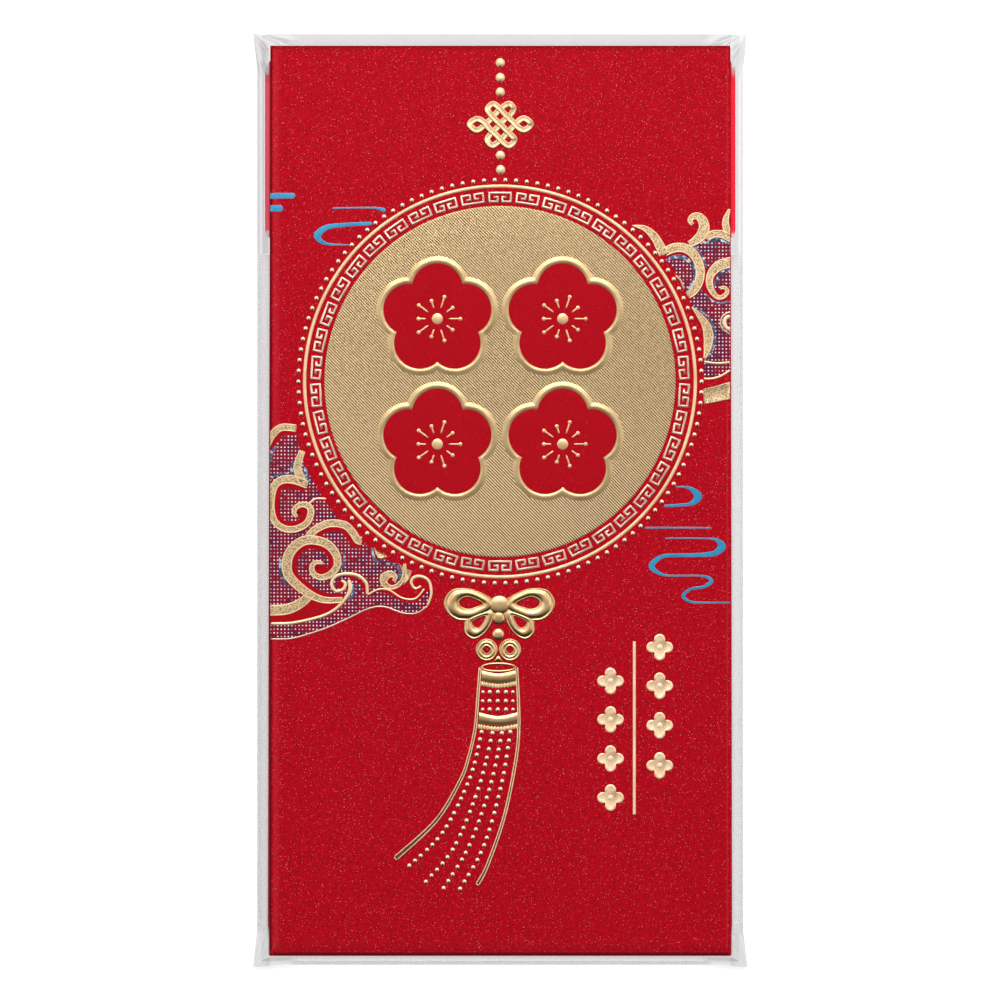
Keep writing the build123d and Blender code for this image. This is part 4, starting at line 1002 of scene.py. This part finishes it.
clouds["right"] = {
    "grounds": [
        [(666.5, 260), (672, 256.6), (679.5, 255.4), (687.5, 258.5), (693.5, 266.5), (696, 277.5),
         (692, 287), (685.6, 293), (682.5, 284), (678, 275.5), (672.5, 266.5)],
        [(689, 302), (697.5, 293.5), (702.5, 287), (706, 295), (714, 300.5), (722, 302), (730.2, 300),
         (730.2, 331), (730.2, 362), (717, 363), (704, 361.5), (711, 345), (713, 335), (711.5, 325),
         (706, 315), (694, 307)],
        [(691.7, 243.9), (700.6, 238.3), (706.7, 242.4), (712.8, 238.5), (719.4, 238), (727.2, 240.6),
         (730.2, 244.4), (730.2, 256), (720.6, 258.4), (712.8, 262.8), (706.6, 269.4), (704, 262.2),
         (699, 251.1)],
        [(730.2, 268.3), (721.7, 271.1), (715.6, 277.8), (713.3, 285.6), (717.2, 293), (724, 293.4),
         (730.2, 286.7)],
        [(703.9, 363), (717, 364.5), (730.2, 363.6), (730.2, 369.5), (722, 374), (713, 377.5), (703.9, 378)],
    ],
    "reds": [],
    "eyes": [(721.7, 291, 4.2)],
    "bands": [
        ([0.8, 6, 8.6, 9.6, 10], [(632, 225.4), (644.5, 228.4), (653.6, 236), (659.6, 245.6), (663.8, 255)],
         0),
        ([9, 9.6, 9.6, 9.6, 9.4, 9.4, 9.2, 8.6, 7.4], [(664.4, 252.4), (672.8, 248.4), (681.7, 247.6),
         (690.6, 251.4), (697.2, 260), (700.2, 271.1), (698.6, 282.2), (693.9, 290.6), (687.4, 295.8)], 0),
        ([4, 5, 6.4, 8, 10, 11, 11, 9, 6], [(693, 224.7), (690, 221.1), (692.2, 217.2), (697.8, 216.4),
         (702.4, 220.6), (704.2, 227.2), (702, 234.4), (696, 240.4), (689, 244.4)], 0),
        ([7.4, 8, 8, 8, 8], [(706, 238.8), (712, 234.6), (719.4, 233.9), (726.1, 236.1), (736, 242.4)], 0),
        ([2, 6, 7.4, 7.4, 6], [(729.6, 209), (726.1, 217.8), (725.6, 224.4), (727, 231), (729, 236)], 0),
        ([11, 11, 9.4, 7.6, 7, 5.6, 4.8, 5, 4.2, 3.6, 3], [(738, 260.9), (721.7, 264.6), (713.9, 270.2),
         (709.7, 277.8), (710, 286.7), (713.9, 294.2), (719.4, 297.7), (725, 295.4), (727.2, 290.6),
         (723.3, 287.4), (720, 288.9)], 0),
        ([0.8, 6, 9, 10.4, 8.6, 2], [(691.7, 307.2), (699.4, 315.6), (706.1, 325.6), (708.4, 335.6),
         (707.8, 346.7), (704.6, 358.9)], 0),
    ],
    "lines": [
        ([2.4], [(703.9, 361.7), (717.2, 363.3), (730.2, 362.2)]),
        ([2.2], [(703.9, 378.9), (713.9, 378.3), (722.8, 375), (730.2, 370)]),
        ([4], [(730.2, 315.6), (725.6, 318.6), (724.4, 323), (726.4, 327.6), (730.2, 329.6)]),
    ],
    "silver": [
        ([1.6], [(730.2, 311.6), (723, 315.6), (720.6, 322), (722.6, 329), (730.2, 334)]),
        ([2], [(675.4, 275.6), (680.4, 280), (684.2, 289)]),
    ],
    "shapes": [[(703.2, 388.9), (716, 385.8), (730.2, 381.7), (730.2, 398.9), (716, 402.2), (703.9, 404.4)]],
    "holo": [
        ([2, 3.6, 3.8, 3.4, 2.8, 2.4, 1.8], [(666, 261), (672, 257.6), (680, 256.6), (688, 260),
         (693.6, 268), (694.8, 278), (686.6, 291.6)]),
        ([2.4, 3.6, 3], [(692, 244.4), (700.6, 240), (706.4, 243.6)]),
        ([3, 4, 3, 2], [(707.4, 243), (713.4, 240), (721, 240), (729, 244)]),
        ([1.8], [(693.4, 245.4), (700.6, 253), (704.6, 262), (706.6, 269)]),
        ([2.8, 3, 2.6, 2], [(730.2, 270), (722.4, 272.4), (716.6, 278.8), (714.6, 286)]),
        ([1.6, 2, 2.2, 2.4, 2.2, 1.6], [(692.4, 306.4), (702.8, 312), (711, 321.4), (714.6, 333),
         (713.4, 347), (707, 360.4)]),
        ([1.4], [(705.4, 294.4), (713.6, 301.4), (722, 303), (730.2, 301)]),
    ],
}


def flatFill(shape, loop, rise):
    spots = [shape.verts.new((*spot, faceZ + rise)) for spot in loop]
    for corners in tessellate_polygon([[spot.co.copy() for spot in spots]]):
        shape.faces.new([spots[corner] for corner in corners])


def sweepAll(shape, strokes, steps, profile, finish=0):
    for widths, points in strokes:
        run = smoothRun(points, steps)
        sweep(shape, run, spreadWidths(widths, len(run)), profile, finish=finish)


rim = clouds["rim"] / 2 * pixel
for side in ("left", "right"):
    plan = clouds[side]
    ground, gaps, holo, bands, silver = (bmesh.new() for piece in range(5))
    for loop in plan["grounds"]:
        flatFill(ground, [at(point) for point in loop], clouds["groundRise"])
    layer = clouds["redRise"]  # each red shape lies a little above the last
    for loop in plan["reds"]:
        flatFill(gaps, [at(point) for point in loop], layer)
        layer += clouds["layer"]
    for x, y, radius in plan["eyes"]:
        flatFill(gaps, circleRun(at((x, y)), radius, clouds["eyeSides"]), layer)
        layer += clouds["layer"]
    for widths, points, gapSide in plan["bands"]:
        run = smoothRun(points, 10)
        halves = spreadWidths(widths, len(run))
        sweep(bands, run, halves, scaled(clouds["section"], clouds["bandRise"]))
        for edge in (-1, 1):
            inset = [edge * max(half - rim, 0.0) for half in halves]
            sweep(bands, beside(run, inset), rim, roundProfile(clouds["bandRise"]), finish=1)
        if gapSide:
            gapRun = beside(run, [gapSide * half for half in halves])
            sweep(gaps, gapRun, clouds["gap"] * pixel, [(-1, layer), (1, layer)])
            layer += clouds["layer"]
    sweepAll(bands, plan["lines"], 10, roundProfile(clouds["lineRise"]), finish=1)
    for loop in plan["shapes"]:
        run = smoothRun(loop, 3, True) if len(loop) < 6 else [at(point) for point in loop]
        centre = middleOf(run)
        stack(bands, [([centre + (spot - centre) * share for spot in run], rise * clouds["bandRise"])
                      for share, rise in clouds["shapeSteps"]])
    sweepAll(silver, plan["silver"], 10, roundProfile(clouds["lineRise"]))
    sweepAll(holo, plan["holo"], 8, [(-1, clouds["holoRise"]), (1, clouds["holoRise"])])
    for shape in (ground, gaps, holo, bands, silver):
        cutAtEdges(shape)
    finishPiece(side + "Cloud", bands, [stippledGold, lineGold], [side + "_cloud"])
    finishPiece(side + "CloudOutline", silver, [silverGold], [])
    finishPiece(side + "CloudGround", ground, [dottedGround], [])
    finishPiece(side + "CloudGap", gaps, [redFill], [])
    finishPiece(side + "CloudGlint", holo, [holoFoil], [])
print("clouds made")

# rounded folds along the whole of each edge: axis, direction, ends, overhang at each end, shaded steps
folds = {
    "steps": 12,
    "edges": {"left_fold": (1, -1, (-84.97, 84.55), (0.5, 0.0), (1, 4)),
              "right_fold": (1, 1, (-84.97, 84.55), (0.38, 0.05), (0, 0)),
              "bottom_fold": (0, -1, (-43.1, 43.1), (0.28, 0.28), (1, 4)),
              "top_crease": (0, 1, (-43.0, 43.0), (0.0, 0.0), (0, 0))},
}
for node, (along, outward, ends, overhangs, shaded) in folds["edges"].items():
    low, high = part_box(node)
    across = 1 - along
    edge, inner = (low[across], high[across]) if outward < 0 else (high[across], low[across])
    shape = bmesh.new()
    rows = []
    for place, overhang in zip(ends, overhangs):
        row = []
        outer = edge + outward * overhang * mm
        for step in range(folds["steps"] + 1):
            tilt = pi * step / folds["steps"]
            reach = inner + (outer - inner) * sin(tilt)
            z = (low.z + high.z) / 2 + (high.z - low.z) / 2 * cos(tilt)
            row.append(shape.verts.new((reach, place * mm, z) if along else (place * mm, reach, z)))
        rows.append(row)
    skin(shape, rows)
    shape.faces.ensure_lookup_table()
    for step in range(*shaded):
        shape.faces[step].material_index = 1
    skin(shape, [[row[0], row[-1]] for row in rows])
    for row in rows:
        shape.faces.new(row)
    bmesh.ops.recalc_face_normals(shape, faces=shape.faces)
    mesh = toMesh(node + "Round", shape)
    placePiece(node.split("_")[0] + "Fold", mesh, [redPaper, shadedPaper], [node])

# clear film: nearly unseen over the paper, grey at the margins, with painted crease highlights and shade at
# the corners
film = {
    "panelSide": (0.0430, 0.0433), "panelTop": (0.0847, 0.0849), "panelEnd": (-0.0853, -0.0855),
    "flapTop": (0.0790, 0.0800), "flapTip": (0.0505, 0.0500), "flapSide": (0.04402, 0.0441),
    "flapRight": (0.0430, 0.0432), "rightUp": 0.0010, "rightDown": 0.0005, "onFlap": 0.75,
    "backMouth": (0.0459, 0.0461),
    "weldIn": (0.0443, 0.0446), "weldOut": (0.0450, 0.0447), "litLowEnd": (-0.0800, -0.0850),
    "grey": (0.5, 0.49, 0.51), "litGrey": (0.66, 0.65, 0.67), "white": (0.98, 0.98, 0.98),
    "ear": (0.0462, 0.08735), "creased": (0.0095, 0.0060), "foldAngle": 0.64, "foldWidth": (0.08, 0.02),
    "cornerStep": 2.3, "fan": (10.0, 220.0, 3.1), "streak": (0.36, 0.64), "creaseAlpha": 0.5,
    "creaseShade": (0.40, 0.39, 0.41), "creaseHighlight": (0.62, 0.61, 0.62),
    "lit": (0.97, 0.97, 0.97), "litShare": 0.58, "litDown": (0.0, -0.08), "rightLit": 0.5,
    "under": (-0.0853, -0.0856), "underSide": (0.0433, 0.0427), "underLit": 0.7,
}


def filmMaterial(name, clear, margin, line=0.0, above=0.0, ends=1.0):
    material, tree, inputs = newMaterial(name, 0.15, IOR=1.45)
    x, y = partsOf(tree)[:2]
    side, end = mathNode("ABSOLUTE", x), mathNode("ABSOLUTE", y)
    right = mathNode("GREATER_THAN", x, 0.0)
    sides = ramp(side, *film["panelSide"])
    rightSide = times(right, sides)
    tops = most(ramp(y, *film["panelTop"]), ramp(y, *film["panelEnd"]))
    edge = most(sides, times(tops, ends))
    if above:  # round the flap only the front film is there
        higher = less(y, times(right, film["rightUp"]))  # the flap's right edge shows longer
        lower = plus(y, times(right, film["rightDown"]))
        beyond = times(most(ramp(higher, *film["flapTop"]), ramp(lower, *film["flapTip"])), sides)
        upper = times(most(ramp(side, *film["flapSide"]), tops, beyond), ramp(y, *film["backMouth"]))
        edge = plus(edge, times(upper, above))
        onFlap = times(ramp(y, *film["flapTip"][::-1]), ramp(y, *film["flapTop"][::-1]),
                       ramp(x, *film["flapRight"]), ramp(side, *film["flapSide"][::-1]), film["onFlap"])
        edge = times(edge, less(1.0, onFlap))  # it lies close on the flap at the right
    shine = times(ramp(side, *film["weldIn"]), ramp(side, *film["weldOut"]), line)
    alpha = most(plus(times(edge, margin), clear), shine)
    # painted light: the film is paler at the right side and at the lower end
    colour = mixColour(most(rightSide, ramp(y, *film["litLowEnd"])), film["grey"], film["litGrey"])
    colour = mixColour(shine, colour, film["white"])
    if line:  # painted highlights and shade: light and dark crease streaks fan out from the four corners, with a painted highlight along the crease from each ear and painted light lower down and at the right
        run, rise = less(film["ear"][0], side), less(film["ear"][1], end)
        angle, away = mathNode("ARCTAN2", rise, run), lengthOf(run, rise)
        corner = plus(right, times(mathNode("GREATER_THAN", y, 0.0), film["cornerStep"]))
        fan = addNode(tree, "ShaderNodeCombineXYZ")
        for socket, value, scale in zip(fan.inputs, (angle, away, corner), film["fan"]):
            feed(socket, times(value, scale))
        streaks = addNode(tree, "ShaderNodeTexNoise", Vector=fan.outputs[0], Scale=1.0, Detail=2.0).outputs[0]
        foldHighlight = ramp(mathNode("ABSOLUTE", less(angle, film["foldAngle"])), *film["foldWidth"])
        streak = most(ramp(streaks, *film["streak"]), foldHighlight)
        near = times(ramp(away, *film["creased"]), most(sides, tops))
        below = times(ramp(y, *film["under"]), ramp(side, *film["underSide"]), film["underLit"])
        lit = most(plus(ramp(y, *film["litDown"]), below), times(rightSide, film["rightLit"]))
        creased = mixColour(streak, film["creaseShade"], film["creaseHighlight"])
        creased = mixColour(times(lit, film["litShare"]), creased, film["lit"])
        colour = mixColour(near, colour, creased)
        alpha = most(alpha, times(near, film["creaseAlpha"]))
    feed(inputs["Alpha"], alpha)
    feed(inputs["Base Color"], colour)
    return material


paleGlue = newMaterial("paleGlue", 0.4, Base_Color=(0.85, 0.79, 0.66))[0]
frontFilm = filmMaterial("frontFilm", clear=0.003, margin=0.06, line=0.4, above=7.5)
backFilm = filmMaterial("backFilm", clear=0.02, margin=0.22, ends=0.62)
weldFilm = filmMaterial("weldFilm", clear=0.01, margin=0.02)
for material, nodes in (
    (paleGlue, ("side_glue_line", "bottom_glue_line")),
    (redPaper, ("back_panel", "side_glue_tab", "bottom_tab")),
    (frontPaperPaintedEdges, ("front_panel",)),
    (flapPaper, ("top_flap",)),
    (frontFilm, ("sleeve_front_film",)),
    (backFilm, ("sleeve_back_film",)),
    (weldFilm, ("sleeve_side_welds", "sleeve_bottom_weld")),
):
    for node in nodes:
        dress(node, material)
print("solids dressed")
